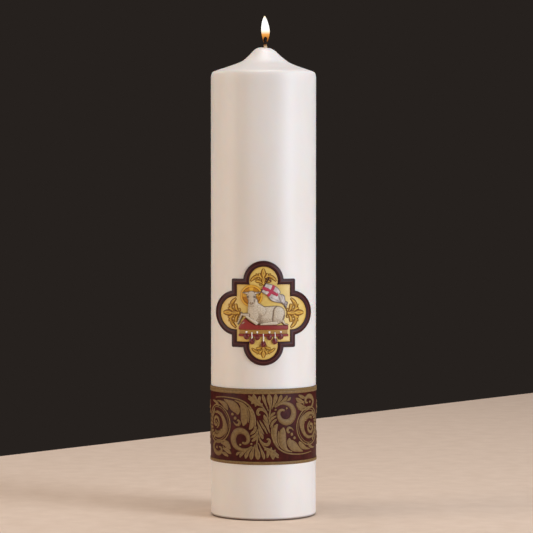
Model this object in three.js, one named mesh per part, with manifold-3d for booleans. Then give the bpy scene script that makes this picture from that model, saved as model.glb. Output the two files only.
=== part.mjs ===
// A large altar candle: a wax pillar with a raised scrollwork band round its foot and a quatrefoil medallion
// on its front, which shows a lamb with a banner, lying on a closed book with seven hanging seals.
//
// Millimetres, +Z up. The origin is the centre of the foot, and the medallion faces -Y.
// Every applied piece is drawn flat, cut out of a thin sheet, and then bent round the wax.

import * as THREE from 'three';
import { mergeVertices } from 'three/addons/utils/BufferGeometryUtils.js';
import Module from 'manifold-3d';

const wasm = await Module();
wasm.setup();

// ---------------------------------------------------------------- driving dimensions

const RADIUS = 38.1;              // 3 inch pillar
const RIM_HEIGHT = 321.7;         // top of the worn rim
const PEAK_HEIGHT = 339.2;        // wax round the wick
const FOOT_ROUND = 2.5;           // radius of the rounded foot edge
const RIM_ROUND = 2.5;            // radius of the rounded rim
const SEGMENTS = 48;              // facets round the wax
const CREASE_TURN = (2 * Math.PI) / 36;  // turn between two creases of a sheet bent round the wax

const WICK_RADIUS = 1.3;
const WICK_BORE = 1.6;
const WICK_TIP_HEIGHT = 347.2;
const WICK_LEAN = 1.5;            // how far the burnt end leans to +X

const RECESS_RADIUS = 11;         // shallow recess in the foot, for the wick sustainer
const RECESS_DEPTH = 1.2;
const NECK_RADIUS = 3.4;
const NECK_DEPTH = 6;
const SUSTAINER_RADIUS = 10.5;
const SUSTAINER_SHEET = 0.5;
const SUSTAINER_NECK = 3;

const GAP = 0.2;                  // glue line between one layer and the next
const SIDE_GAP = 0.3;             // clearance between neighbours in one layer
const SHEET = 0.5;                // thickness of an applied wax sheet

const BAND_BOTTOM = 40.3;
const BAND_TOP = 94.7;
const BAND_SEAM = 0.5;            // butt joint of the band at the back
const UPPER_EDGE = 3.7;           // width of the upper gold strip
const LOWER_EDGE = 2.2;

const MEDALLION_HEIGHT = 149.2;   // height of the medallion's centre
const SQUARE = { x: 22.4, y: 24.2 };              // half sides of the medallion's square
const END_LOBE = { centre: 23.1, radius: 13.9 };  // the lobes above and below
const SIDE_LOBE = { centre: 20, x: 13.85, y: 16 };
const BORDER_WIDTH = 3.6;
const BORDER_THICK = 1.5;
const FIELD_THICK = 0.6;
const LAMB_THICK = 1.7;

// Radial start of each layer, measured out from the wax.
const LAYER_0 = GAP;
const LAYER_1 = LAYER_0 + FIELD_THICK + GAP;
const LAYER_2 = LAYER_1 + SHEET + GAP;
const BAND_LAYER = LAYER_0 + SHEET + GAP;

const BAND_MIDDLE = (BAND_TOP + BAND_BOTTOM) / 2;
const HALF_TURN = Math.PI * RADIUS;

// ---------------------------------------------------------------- materials

const wax = (color, roughness) => new THREE.MeshStandardMaterial({ color, roughness, metalness: 0 });
const gilt = (color) => new THREE.MeshStandardMaterial({ color, roughness: 0.4, metalness: 0.5 });

const ivoryWax = wax(0xe9e0d2, 0.5);
const maroonWax = wax(0x45201c, 0.45);
const redWax = wax(0x96352d, 0.5);
const whiteWax = wax(0xe2d6c6, 0.55);
const fieldGold = gilt(0xdcb95a);
const scrollGold = gilt(0x8a6f45);
const haloGold = gilt(0xd99a2e);
const charredCotton = wax(0x2a211d, 0.95);
const tinPlate = new THREE.MeshStandardMaterial({ color: 0xb9bbbd, roughness: 0.35, metalness: 1 });

// ---------------------------------------------------------------- flat outlines

function point(x, y) {
  return new THREE.Vector2(x, y);
}

function polygon(points) {
  return new THREE.Shape(points);
}

function smooth(points, samples) {
  const curve = new THREE.CatmullRomCurve3(points.map(([x, y]) => new THREE.Vector3(x, y, 0)), true);
  return polygon(curve.getPoints(samples).slice(0, -1).map((p) => point(p.x, p.y)));
}

function rectangle(left, right, bottom, top) {
  return polygon([point(left, bottom), point(right, bottom), point(right, top), point(left, top)]);
}

function ellipse(x, y, halfWidth, halfHeight, sides) {
  const around = (i) => (i / sides) * 2 * Math.PI;
  return polygon(Array.from({ length: sides }, (_, i) =>
    point(x + halfWidth * Math.cos(around(i)), y + halfHeight * Math.sin(around(i)))));
}

// A line of changing width along a curve.
function stroke(curve, widthAt, samples) {
  const left = [];
  const right = [];
  for (let i = 0; i <= samples; i += 1) {
    const t = i / samples;
    const at = curve.getPoint(t);
    const along = curve.getTangent(t);
    const half = widthAt(t) / 2;
    left.push(point(at.x - along.y * half, at.y + along.x * half));
    right.unshift(point(at.x + along.y * half, at.y - along.x * half));
  }
  return polygon([...left, ...right]);
}

// A pointed leaf from its root to its tip, fullest in the middle and bent sideways by bend.
function leaf(root, tip, width, bend = 0) {
  const from = point(...root);
  const to = point(...tip);
  const along = to.clone().sub(from);
  const aside = point(-along.y, along.x).normalize();
  const middle = from.clone().add(to).multiplyScalar(0.5).addScaledVector(aside, bend);
  const curve = new THREE.QuadraticBezierCurve(from, middle, to);
  return stroke(curve, (t) => 0.3 + width * Math.sin(Math.PI * t) ** 0.8, 3);
}

class Spiral extends THREE.Curve {
  constructor(centre, startRadius, endRadius, startAngle, turns) {
    super();
    Object.assign(this, { centre, startRadius, endRadius, startAngle, turns });
  }

  getPoint(t) {
    const radius = THREE.MathUtils.lerp(this.startRadius, this.endRadius, t);
    const angle = this.startAngle + t * this.turns * 2 * Math.PI;
    return point(this.centre.x + radius * Math.cos(angle), this.centre.y + radius * Math.sin(angle));
  }
}

// The medallion's outline, a square with a lobe on each side, drawn inwards by inset.
function quatrefoil(inset) {
  const side = { x: SQUARE.x - inset, y: SQUARE.y - inset };
  const endRadius = END_LOBE.radius - inset;
  const endAngle = Math.asin((side.y - END_LOBE.centre) / endRadius);
  const lobe = { x: SIDE_LOBE.x - inset, y: SIDE_LOBE.y - inset };
  const sideAngle = Math.acos((side.x - SIDE_LOBE.centre) / lobe.x);
  const shape = new THREE.Shape();
  shape.absarc(0, -END_LOBE.centre, endRadius, 1.5 * Math.PI, 2 * Math.PI - endAngle);
  shape.lineTo(side.x, -side.y);
  shape.absellipse(SIDE_LOBE.centre, 0, lobe.x, lobe.y, -sideAngle, sideAngle);
  shape.lineTo(side.x, side.y);
  shape.absarc(0, END_LOBE.centre, endRadius, endAngle, Math.PI - endAngle);
  shape.lineTo(-side.x, side.y);
  shape.absellipse(-SIDE_LOBE.centre, 0, lobe.x, lobe.y, Math.PI - sideAngle, Math.PI + sideAngle);
  shape.lineTo(-side.x, -side.y);
  shape.absarc(0, -END_LOBE.centre, endRadius, Math.PI + endAngle, 1.5 * Math.PI);
  return shape;
}

// ---------------------------------------------------------------- flat sheets to bent solids

function solidFrom(geometry) {
  const bare = geometry.clone();
  bare.deleteAttribute('normal');
  bare.deleteAttribute('uv');
  const merged = mergeVertices(bare, 1e-4);
  const mesh = new wasm.Mesh({
    numProp: 3,
    vertProperties: new Float32Array(merged.attributes.position.array),
    triVerts: new Uint32Array(merged.index.array),
  });
  return new wasm.Manifold(mesh);
}

// One flat sheet cut to the joined outlines, from z = 0 up to its thickness.
function sheet(shapes, thickness = SHEET) {
  const settings = { depth: thickness, bevelEnabled: false, curveSegments: 6 };
  return shapes
    .map((shape) => new THREE.ExtrudeGeometry(shape, settings))
    .map(solidFrom)
    .reduce((joined, next) => joined.add(next));
}

// The same flat solid, swept sideways by the clearance in every direction, to cut room for it.
function roomFor(solid, clearance = SIDE_GAP) {
  const steps = 8;
  let room = solid;
  for (let i = 0; i < steps; i += 1) {
    const angle = (i / steps) * 2 * Math.PI;
    room = room.add(solid.translate([clearance * Math.cos(angle), clearance * Math.sin(angle), 0]));
  }
  return room;
}

function triangles(solid) {
  const mesh = solid.getMesh();
  const points = [];
  for (let i = 0; i < mesh.vertProperties.length; i += mesh.numProp) {
    points.push([mesh.vertProperties[i], mesh.vertProperties[i + 1], mesh.vertProperties[i + 2]]);
  }
  const faces = [];
  for (let i = 0; i < mesh.triVerts.length; i += 3) {
    faces.push([mesh.triVerts[i], mesh.triVerts[i + 1], mesh.triVerts[i + 2]]);
  }
  return { points, faces };
}

// Cuts every triangle along the line at x = across, so that a flat sheet can bend there.
function crease({ points, faces }, across) {
  const side = (index) => {
    const offset = points[index][0] - across;
    return Math.abs(offset) < 1e-5 ? 0 : Math.sign(offset);
  };
  const crossings = new Map();
  const crossing = (a, b) => {
    if (side(a) * side(b) >= 0) return -1;
    const key = a < b ? `${a},${b}` : `${b},${a}`;
    if (!crossings.has(key)) {
      const [low, high] = a < b ? [points[a], points[b]] : [points[b], points[a]];
      const t = (across - low[0]) / (high[0] - low[0]);
      points.push([across, low[1] + t * (high[1] - low[1]), low[2] + t * (high[2] - low[2])]);
      crossings.set(key, points.length - 1);
    }
    return crossings.get(key);
  };
  const cut = faces.flatMap(([a, b, c]) => {
    const [ab, bc, ca] = [crossing(a, b), crossing(b, c), crossing(c, a)];
    if (ab >= 0 && bc >= 0) return [[b, bc, ab], [ab, bc, c], [ab, c, a]];
    if (bc >= 0 && ca >= 0) return [[c, ca, bc], [bc, ca, a], [bc, a, b]];
    if (ca >= 0 && ab >= 0) return [[a, ab, ca], [ca, ab, b], [ca, b, c]];
    if (ab >= 0) return [[a, ab, c], [ab, b, c]];
    if (bc >= 0) return [[b, bc, a], [bc, c, a]];
    if (ca >= 0) return [[c, ca, b], [ca, a, b]];
    return [[a, b, c]];
  });
  return { points, faces: cut };
}

// The band is drawn at its unrolled length, and the medallion as it looks from the front.
const BAND_SURFACE = {
  height: BAND_MIDDLE,
  turnAt: (x) => x / RADIUS,
  acrossAt: (turn) => turn * RADIUS,
};
const FRONT_SURFACE = {
  height: MEDALLION_HEIGHT,
  turnAt: (x) => Math.asin(x / RADIUS),
  acrossAt: (turn) => RADIUS * Math.sin(turn),
};

// Bends a flat solid round the wax, with start as its distance from the wax.
function bend(solid, surface, start) {
  let flat = triangles(solid);
  const turns = flat.points.map(([x]) => surface.turnAt(x));
  const last = Math.floor(Math.max(...turns) / CREASE_TURN);
  for (let i = Math.ceil(Math.min(...turns) / CREASE_TURN); i <= last; i += 1) {
    flat = crease(flat, surface.acrossAt(i * CREASE_TURN));
  }
  const positions = flat.points.flatMap(([x, y, z]) => {
    const radius = RADIUS + start + z;
    const turn = surface.turnAt(x);
    return [radius * Math.sin(turn), -radius * Math.cos(turn), surface.height + y];
  });
  const geometry = new THREE.BufferGeometry();
  geometry.setAttribute('position', new THREE.Float32BufferAttribute(positions, 3));
  geometry.setIndex(flat.faces.flat());
  geometry.computeVertexNormals();
  return geometry;
}

const onBand = (solid, start = BAND_LAYER) => bend(solid, BAND_SURFACE, start);
const onFront = (solid, start = LAYER_1) => bend(solid, FRONT_SURFACE, start);

// ---------------------------------------------------------------- wax body, wick and sustainer

function turned(profile, segments) {
  const geometry = new THREE.LatheGeometry(profile, segments);
  geometry.rotateX(Math.PI / 2);
  geometry.deleteAttribute('normal');
  geometry.deleteAttribute('uv');
  const merged = mergeVertices(geometry, 1e-4);
  merged.computeVertexNormals();
  return merged;
}

function candleBody() {
  const path = new THREE.Path();
  path.moveTo(WICK_BORE, NECK_DEPTH);
  path.lineTo(NECK_RADIUS, NECK_DEPTH);
  path.lineTo(NECK_RADIUS, RECESS_DEPTH);
  path.lineTo(RECESS_RADIUS, RECESS_DEPTH);
  path.lineTo(RECESS_RADIUS, 0);
  path.lineTo(RADIUS - FOOT_ROUND, 0);
  path.absarc(RADIUS - FOOT_ROUND, FOOT_ROUND, FOOT_ROUND, -Math.PI / 2, 0);
  path.lineTo(RADIUS, RIM_HEIGHT - RIM_ROUND);
  path.absarc(RADIUS - RIM_ROUND, RIM_HEIGHT - RIM_ROUND, RIM_ROUND, 0, Math.PI * 0.4);
  path.quadraticCurveTo(24, PEAK_HEIGHT - 13, 16.3, PEAK_HEIGHT - 9.4);
  path.bezierCurveTo(11, PEAK_HEIGHT - 6.4, 9, PEAK_HEIGHT, 4, PEAK_HEIGHT);
  path.lineTo(WICK_BORE, PEAK_HEIGHT);
  path.lineTo(WICK_BORE, NECK_DEPTH);
  const profile = path.getPoints(3);
  return turned(profile.filter((at, i) => i === 0 || at.distanceTo(profile[i - 1]) > 1e-3), SEGMENTS);
}

// The wick runs straight up through the wax, and its burnt end bends over to one side.
function wick() {
  const bendStart = PEAK_HEIGHT - 1;
  const free = WICK_TIP_HEIGHT - bendStart;
  const geometry = turned([
    point(0, RECESS_DEPTH),
    point(WICK_RADIUS, RECESS_DEPTH),
    point(WICK_RADIUS, bendStart),
    point(WICK_RADIUS, bendStart + free * 0.35),
    point(WICK_RADIUS, bendStart + free * 0.7),
    point(WICK_RADIUS * 0.6, WICK_TIP_HEIGHT),
    point(0, WICK_TIP_HEIGHT),
  ], 10);
  const position = geometry.attributes.position;
  for (let i = 0; i < position.count; i += 1) {
    const along = Math.max(0, position.getZ(i) - bendStart) / free;
    position.setX(i, position.getX(i) + WICK_LEAN * along ** 2);
  }
  geometry.computeVertexNormals();
  return geometry;
}

function wickSustainer() {
  const under = GAP;
  const over = under + SUSTAINER_SHEET;
  return turned([
    point(WICK_BORE, under),
    point(SUSTAINER_RADIUS, under),
    point(SUSTAINER_RADIUS, over),
    point(SUSTAINER_NECK, over),
    point(SUSTAINER_NECK, NECK_DEPTH - SIDE_GAP),
    point(WICK_BORE, NECK_DEPTH - SIDE_GAP),
    point(WICK_BORE, under),
  ], SEGMENTS / 2);
}

// ---------------------------------------------------------------- band round the foot

// A strip that runs round the wax from one side of the butt joint at the back to the other.
function bandStrip(start, bottom, top) {
  const inner = RADIUS + start;
  const outer = inner + SHEET;
  const jointHalf = BAND_SEAM / 2 / RADIUS;
  const from = Math.PI / 2 + jointHalf;
  const to = Math.PI / 2 + 2 * Math.PI - jointHalf;
  const section = new THREE.Shape();
  section.absarc(0, 0, outer, from, to);
  section.absarc(0, 0, inner, to, from, true);
  const strip = new THREE.ExtrudeGeometry(section, {
    depth: top - bottom,
    bevelEnabled: false,
    curveSegments: SEGMENTS / 2,
  });
  return strip.translate(0, 0, bottom);
}

const RING = { centre: point(-17.2, -9), radius: 8 };
const VOLUTE = { centre: point(-38, 0.8), radius: 14.2 };

// A large volute: a ring with a toothed inner edge, and inside it a scroll that winds in to an eye.
function volute() {
  const { centre, radius } = VOLUTE;
  const teeth = 9;
  const ring = ellipse(centre.x, centre.y, radius, radius, 24);
  const toothed = Array.from({ length: teeth * 2 }, (_, i) => {
    const reach = i % 2 === 0 ? radius - 1.4 : radius - 5;
    const angle = (i / teeth) * Math.PI;
    return point(centre.x + reach * Math.cos(angle), centre.y + reach * Math.sin(angle));
  });
  ring.holes.push(new THREE.Path(toothed));
  const coil = new Spiral(centre, radius - 4.6, 3.2, 0.7, 1.3);
  const eye = ellipse(centre.x, centre.y, 2.4, 2.4, 10);
  return sheet([ring, stroke(coil, (t) => 1.5 + 0.8 * t, 13), eye]);
}

// A smaller open scroll that thickens from its tail to a berry at its curled end.
function cScroll() {
  const curl = new Spiral(RING.centre, RING.radius - 1, 3.4, -Math.PI * 0.3, 1.15);
  const end = curl.getPoint(1);
  const knob = ellipse(end.x, end.y, 1.9, 1.9, 12);
  return sheet([stroke(curl, (t) => 1.4 + 2 * Math.sin(Math.PI * t * 0.7), 14), knob]);
}

// A fan of leaflets, joined at their roots, that spreads out below the open scroll.
function leafFan() {
  const leaflets = 6;
  const inner = RING.radius + 0.5;
  const angleAt = (t) => THREE.MathUtils.lerp(-2.1, -0.9, t);
  const at = (radius, t) => point(
    RING.centre.x + radius * Math.cos(angleAt(t)),
    RING.centre.y + radius * Math.sin(angleAt(t)),
  );
  const edge = Array.from({ length: leaflets * 4 + 1 }, (_, i) => {
    const t = i / (leaflets * 4);
    return at(inner + 1 + 4 * Math.abs(Math.sin(t * leaflets * Math.PI)), t);
  });
  const root = [1, 0.75, 0.5, 0.25, 0].map((t) => at(inner, t));
  return sheet([polygon([...edge, ...root])]);
}

// A thin stem that arches over the open scroll and carries four hanging leaf pods.
function podSpray() {
  const stem = new THREE.CubicBezierCurve(point(-38, 18.2), point(-22, 21.5), point(-8, 19), point(-6, 4));
  const pods = [
    { from: 0.12, tip: [-27, 13.2], width: 2.4 },
    { from: 0.34, tip: [-20, 7.2], width: 3.2 },
    { from: 0.56, tip: [-14.6, 1.2], width: 3.4 },
    { from: 0.8, tip: [-9.2, -1.8], width: 2.4 },
  ].map(({ from, tip, width }) => leaf(stem.getPoint(from).toArray(), tip, width, -1.2));
  return sheet([stroke(stem, () => 1.1, 8), ...pods]);
}

// A curl of leaf under the volute, with three lobes on its outer side.
function leafCurl() {
  const curl = new Spiral(point(-38.6, -18.2), 3.4, 1.4, -0.6, 1.1);
  const lobes = [
    leaf([-36.4, -17], [-27.2, -15.6], 2.6),
    leaf([-36.8, -18.4], [-26.8, -19.4], 2.4),
    leaf([-38, -19.2], [-29, -22], 2.2),
  ];
  return sheet([stroke(curl, (t) => 1.6 - 0.6 * t, 12), ...lobes]);
}

// The S-shaped stem in the middle of the pattern, feathered with small leaves, with a long leaf at each end.
function centreStem() {
  const stem = new THREE.CubicBezierCurve(point(3.4, 14.5), point(-6, 9), point(6, -9), point(-3.4, -14.5));
  const feathers = (t) => 1.4 + 4.6 * Math.abs(Math.sin(t * 5 * Math.PI)) * Math.sin(t * Math.PI);
  const ends = [leaf([3.2, 13.6], [-8.6, 20.6], 2.6, -2.2), leaf([-3.2, -13.6], [8.6, -20.6], 2.6, -2.2)];
  return sheet([stroke(stem, feathers, 20), ...ends]);
}

// A five-petalled blossom, set between two volutes.
function blossom() {
  const petals = 5;
  const sides = 20;
  return sheet([polygon(Array.from({ length: sides }, (_, i) => {
    const angle = (i / sides) * 2 * Math.PI;
    const radius = 4.2 + 1.5 * Math.abs(Math.cos(angle * petals / 2));
    return point(radius * Math.cos(angle), radius * Math.sin(angle));
  }))]);
}

// Every band ornament repeats at half a turn and is copied upside down about the pattern's centre.
function bandOrnaments() {
  const pieces = [];
  const handed = {
    volute: volute(),
    c_scroll: cScroll(),
    leaf_fan: leafFan(),
    leaf_curl: leafCurl(),
    pod_spray: podSpray(),
  };
  for (const [name, solid] of Object.entries(handed)) {
    const both = [solid, solid.rotate([0, 0, 180])];
    [0, HALF_TURN].forEach((shift, period) => both.forEach((copy, turned180) => {
      pieces.push([`band_${name}_${2 * period + turned180 + 1}`, copy.translate([shift, 0, 0])]);
    }));
  }
  const stem = centreStem();
  pieces.push(['band_centre_stem_1', stem], ['band_centre_stem_2', stem.translate([HALF_TURN, 0, 0])]);
  const flower = blossom();
  const between = HALF_TURN / 2;
  [[between, 11], [between, -11], [-between, 11], [-between, -11]].forEach(([x, y], i) => {
    pieces.push([`band_blossom_${i + 1}`, flower.translate([x, y, 0])]);
  });
  return pieces;
}

// ---------------------------------------------------------------- medallion on the front

function medallionBorder() {
  const shape = quatrefoil(0);
  shape.holes.push(new THREE.Path(quatrefoil(BORDER_WIDTH).getPoints(6)));
  return sheet([shape], BORDER_THICK);
}

function medallionField() {
  return sheet([quatrefoil(BORDER_WIDTH + SIDE_GAP)], FIELD_THICK);
}

// A fleuron for one lobe: leaves that open like a fan from a root bar, pointing along angle.
function fleuron(x, y, angle, length, spread) {
  const leaves = [-1.25, -0.65, 0, 0.65, 1.25].map((tilt) => {
    const reach = length * (1 - 0.18 * Math.abs(tilt)) * (tilt === 0 ? 1 : spread);
    return leaf([0, 0], [reach * Math.sin(tilt), reach * Math.cos(tilt)], 3, 0);
  });
  const root = ellipse(0, 0, 3, 1.6, 14);
  return sheet([root, ...leaves]).rotate([0, 0, angle]).translate([x, y, 0]);
}

function lamb() {
  return sheet([smooth([
    [-8.5, 15.9], [-11.4, 14.9], [-14.4, 14], [-12.4, 12.4], [-11.7, 10], [-11, 6.6], [-11.4, 3],
    [-11.4, 0.2], [-14.6, 0.4], [-16.2, -2.2], [-18.6, -7], [-17.8, -8.8], [-16.2, -6.8], [-13, -3.2],
    [-9.4, -8], [-6.4, -8.9], [-4.4, -6.6], [-2.4, -8.7], [6.5, -8.9], [12.4, -8], [15.8, -8.8],
    [16.4, -7.4], [15, -5.4], [15.2, -1.6], [13.6, 2.6], [10.2, 5.2], [5.6, 5.8], [-0.8, 5.4],
    [-3.6, 7.2], [-5, 9.8], [-5.2, 11.9], [-2.8, 13.8], [-5.6, 14.8],
  ], 66)], LAMB_THICK);
}

// The halo stands behind the head, as a sector of a disc that ends beside the staff and the chest.
function halo() {
  const centre = point(-8.3, 12);
  const radius = 8.4;
  const sides = 18;
  const rim = Array.from({ length: sides + 1 }, (_, i) => {
    const angle = THREE.MathUtils.lerp(0.73, 3.75, i / sides);
    return point(centre.x + radius * Math.cos(angle), centre.y + radius * Math.sin(angle));
  });
  return sheet([polygon([centre, ...rim])]);
}

function bannerStaff() {
  const pole = stroke(new THREE.LineCurve(point(-3.1, 12.6), point(3.3, 24)), () => 1.1, 1);
  const finialBar = stroke(new THREE.LineCurve(point(1.7, 24.1), point(4.6, 22.6)), () => 1, 1);
  const finialTip = leaf([3.2, 23.6], [4.4, 26.4], 1.4);
  return sheet([pole, finialBar, finialTip]);
}

function bannerCloth() {
  const flag = smooth([
    [1.9, 21.4], [5.4, 20.8], [8.6, 19.9], [10.4, 16.6], [11.3, 14], [8.4, 12], [5.6, 10.4], [3, 11.6],
    [-0.6, 13.6], [0.4, 17.6],
  ], 40);
  const tail = smooth([[10.2, 14.6], [13.4, 12.4], [13.8, 9], [12.6, 7.4], [7.6, 7.5], [8, 10.6]], 28);
  return sheet([flag, tail]);
}

function bannerCross() {
  const long = stroke(new THREE.LineCurve(point(0.9, 18.1), point(9.4, 12.7)), () => 1.8, 1);
  const short = stroke(new THREE.LineCurve(point(7.6, 19.4), point(3.5, 11.9)), () => 1.8, 1);
  return sheet([long, short], SHEET / 2);
}

const BOOK = { left: -17.3, right: 17, coverTop: -9.4, pagesTop: -12, pagesBottom: -14.6, bottom: -16.7 };

// The upper cover bulges up under the lamb's raised foreleg.
function bookCoverUpper() {
  const edge = rectangle(BOOK.left, BOOK.right, BOOK.pagesTop + SIDE_GAP, BOOK.coverTop);
  const fold = polygon([point(-16.4, -10), point(-6.4, -10), point(-12.8, -3.4)]);
  return sheet([edge, fold]);
}

function bookPages() {
  return sheet([rectangle(BOOK.left + 0.7, BOOK.right - 0.3, BOOK.pagesBottom, BOOK.pagesTop)]);
}

function bookCoverLower() {
  return sheet([rectangle(BOOK.left, BOOK.right, BOOK.bottom, BOOK.pagesBottom - SIDE_GAP)]);
}

// Seven seals hang from the book on cords. The middle one hangs lowest.
const SEAL = { halfWidth: 1.75, halfHeight: 2.4 };
const SEALS = [
  { x: -12.3, y: -17.4 },
  { x: -8.3, y: -20.4 },
  { x: -4.3, y: -17.4 },
  { x: -0.2, y: -22.2 },
  { x: 3.9, y: -17.4 },
  { x: 7.9, y: -20.4 },
  { x: 11.9, y: -17.4 },
];

function seal({ x, y }) {
  return sheet([ellipse(x, y, SEAL.halfWidth, SEAL.halfHeight, 18)]);
}

function sealCord({ x, y }) {
  const top = BOOK.pagesTop - 1.2;
  const bottom = y + SEAL.halfHeight + SIDE_GAP;
  return sheet([ellipse(x, (top + bottom) / 2, 0.75, (top - bottom) / 2, 10)]);
}

// ---------------------------------------------------------------- assembly

const group = new THREE.Group();

function place(name, geometry, material) {
  const mesh = new THREE.Mesh(geometry, material);
  mesh.name = name;
  group.add(mesh);
}

place('candle_body', candleBody(), ivoryWax);
place('wick', wick(), charredCotton);
place('wick_sustainer', wickSustainer(), tinPlate);

place('band_ground', bandStrip(LAYER_0, BAND_BOTTOM, BAND_TOP), maroonWax);
place('band_edge_upper', bandStrip(BAND_LAYER, BAND_TOP - UPPER_EDGE, BAND_TOP), scrollGold);
place('band_edge_lower', bandStrip(BAND_LAYER, BAND_BOTTOM, BAND_BOTTOM + LOWER_EDGE), scrollGold);
for (const [name, solid] of bandOrnaments()) {
  place(name, onBand(solid), scrollGold);
}

place('medallion_border', onFront(medallionBorder(), LAYER_0), maroonWax);
place('medallion_field', onFront(medallionField(), LAYER_0), fieldGold);

const lambSolid = lamb();
const lambRoom = roomFor(lambSolid);
const staffSolid = bannerStaff();
const sealSolids = SEALS.map(seal);

const topFleuron = fleuron(-3.4, 22.6, 0, 8.6, 0.8);
place('filigree_top', onFront(topFleuron.subtract(roomFor(staffSolid))), scrollGold);
place('filigree_left', onFront(fleuron(-19.8, 0, 90, 8.6, 1.1).subtract(lambRoom)), scrollGold);
place('filigree_right', onFront(fleuron(19.8, 0, -90, 8.6, 1.1).subtract(lambRoom)), scrollGold);
place('filigree_bottom', onFront(fleuron(0, -24.6, 180, 7.2, 0.9)), scrollGold);
place('halo', onFront(halo().subtract(lambRoom)), haloGold);
place('lamb', onFront(lambSolid), whiteWax);
place('banner_staff', onFront(staffSolid.subtract(lambRoom)), maroonWax);
place('banner_cloth', onFront(bannerCloth().subtract(roomFor(staffSolid)).subtract(lambRoom)), whiteWax);
place('banner_cross', onFront(bannerCross(), LAYER_2), redWax);
place('book_cover_upper', onFront(bookCoverUpper().subtract(lambRoom)), redWax);
place('book_pages', onFront(bookPages()), fieldGold);
place('book_cover_lower', onFront(bookCoverLower()), redWax);
sealSolids.forEach((solid, i) => place(`seal_${i + 1}`, onFront(solid, LAYER_2), maroonWax));
SEALS.forEach((at, i) => place(`seal_cord_${i + 1}`, onFront(sealCord(at), LAYER_2), whiteWax));

export default group;
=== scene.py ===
"""Looks for the altar candle: a wax pillar with a scrollwork band and a quatrefoil medallion of a lamb.

Lengths are millimetres in the outlines and metres in the finished meshes. Applied pieces are drawn flat, as
across, up and out from the wax, and then bent round the pillar. The medallion faces -Y.
"""

import math

import bpy
import numpy as np
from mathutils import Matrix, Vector, noise
from mathutils.geometry import delaunay_2d_cdt


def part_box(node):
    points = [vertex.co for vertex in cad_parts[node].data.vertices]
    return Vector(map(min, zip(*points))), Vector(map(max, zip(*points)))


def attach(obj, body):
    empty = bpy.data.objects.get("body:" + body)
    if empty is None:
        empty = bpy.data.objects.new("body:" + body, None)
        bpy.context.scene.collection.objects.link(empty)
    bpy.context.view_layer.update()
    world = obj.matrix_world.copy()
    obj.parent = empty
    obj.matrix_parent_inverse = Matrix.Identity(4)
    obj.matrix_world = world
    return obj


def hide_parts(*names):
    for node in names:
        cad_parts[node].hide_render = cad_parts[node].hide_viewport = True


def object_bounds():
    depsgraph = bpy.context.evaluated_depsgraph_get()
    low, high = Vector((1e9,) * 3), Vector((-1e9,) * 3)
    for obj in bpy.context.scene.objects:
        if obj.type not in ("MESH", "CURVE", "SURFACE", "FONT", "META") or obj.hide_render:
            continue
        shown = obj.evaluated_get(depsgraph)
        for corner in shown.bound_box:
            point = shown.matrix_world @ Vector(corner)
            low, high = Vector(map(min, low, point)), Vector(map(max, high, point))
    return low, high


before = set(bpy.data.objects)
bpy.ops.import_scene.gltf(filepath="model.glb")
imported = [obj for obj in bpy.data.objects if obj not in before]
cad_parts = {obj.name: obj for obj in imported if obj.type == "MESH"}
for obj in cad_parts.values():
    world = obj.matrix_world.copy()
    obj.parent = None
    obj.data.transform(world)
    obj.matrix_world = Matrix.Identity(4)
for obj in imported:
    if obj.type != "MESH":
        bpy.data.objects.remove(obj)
CAD_LOW, CAD_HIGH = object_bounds()

MM = 0.001
BODY_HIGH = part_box("candle_body")[1] / MM
RADIUS = BODY_HIGH.x
PEAK = BODY_HIGH.z
WICK_TIP = CAD_HIGH.z / MM
HALF_TURN = math.pi * RADIUS
SUNK = -0.15      # how deep the applied pieces reach into what they lie on, so that no gap shows
FULLNESS = 1.13   # how much wider the gold strokes are than their drawn widths


# ---------------------------------------------------------------- curves and numbers

def smoothstep(low, high, value):
    t = np.clip((np.asarray(value, float) - low) / (high - low), 0, 1)
    return t * t * (3 - 2 * t)


def spline(points, count, closed=False):
    """Catmull-Rom curve through the points, as count points evenly spaced along it."""
    points = np.asarray(points, float)
    if closed:
        padded = np.vstack([points[-1:], points, points[:2]])
    else:
        padded = np.vstack([2 * points[0] - points[1], points, 2 * points[-1] - points[-2]])
    dense = []
    steps = np.linspace(0, 1, 24, endpoint=False)[:, None]
    for a, b, c, d in zip(padded, padded[1:], padded[2:], padded[3:]):
        dense.append(0.5 * (2 * b + (c - a) * steps + (2 * a - 5 * b + 4 * c - d) * steps**2
                            + (3 * b - a - 3 * c + d) * steps**3))
    dense.append(points[:1] if closed else points[-1:])
    dense = np.vstack(dense)
    length = np.concatenate([[0], np.cumsum(np.linalg.norm(np.diff(dense, axis=0), axis=1))])
    at = np.linspace(0, length[-1], count + 1)[:-1] if closed else np.linspace(0, length[-1], count)
    return np.column_stack([np.interp(at, length, dense[:, k]) for k in range(dense.shape[1])])


def spiral(centre, start_radius, end_radius, start_angle, turns, count):
    """Angles are in degrees and turn anticlockwise for positive turns."""
    t = np.linspace(0, 1, count)
    radius = start_radius + (end_radius - start_radius) * t
    angle = math.radians(start_angle) + 2 * math.pi * turns * t
    return np.column_stack([centre[0] + radius * np.cos(angle), centre[1] + radius * np.sin(angle)])


def circle(count):
    """Points evenly round a circle of radius 1, anticlockwise."""
    angle = np.linspace(0, 2 * math.pi, count, endpoint=False)
    return np.column_stack([np.cos(angle), np.sin(angle)])


def polar(centre, radius, degrees):
    angle = math.radians(degrees)
    return np.array(centre) + radius * np.array([math.cos(angle), math.sin(angle)])


def sideways(line):
    """Unit vectors to the left of a line at each of its points."""
    along = np.gradient(np.asarray(line, float), axis=0)
    along /= np.maximum(np.linalg.norm(along, axis=1), 1e-9)[:, None]
    return np.column_stack([-along[:, 1], along[:, 0]])


# ---------------------------------------------------------------- meshes

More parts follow.
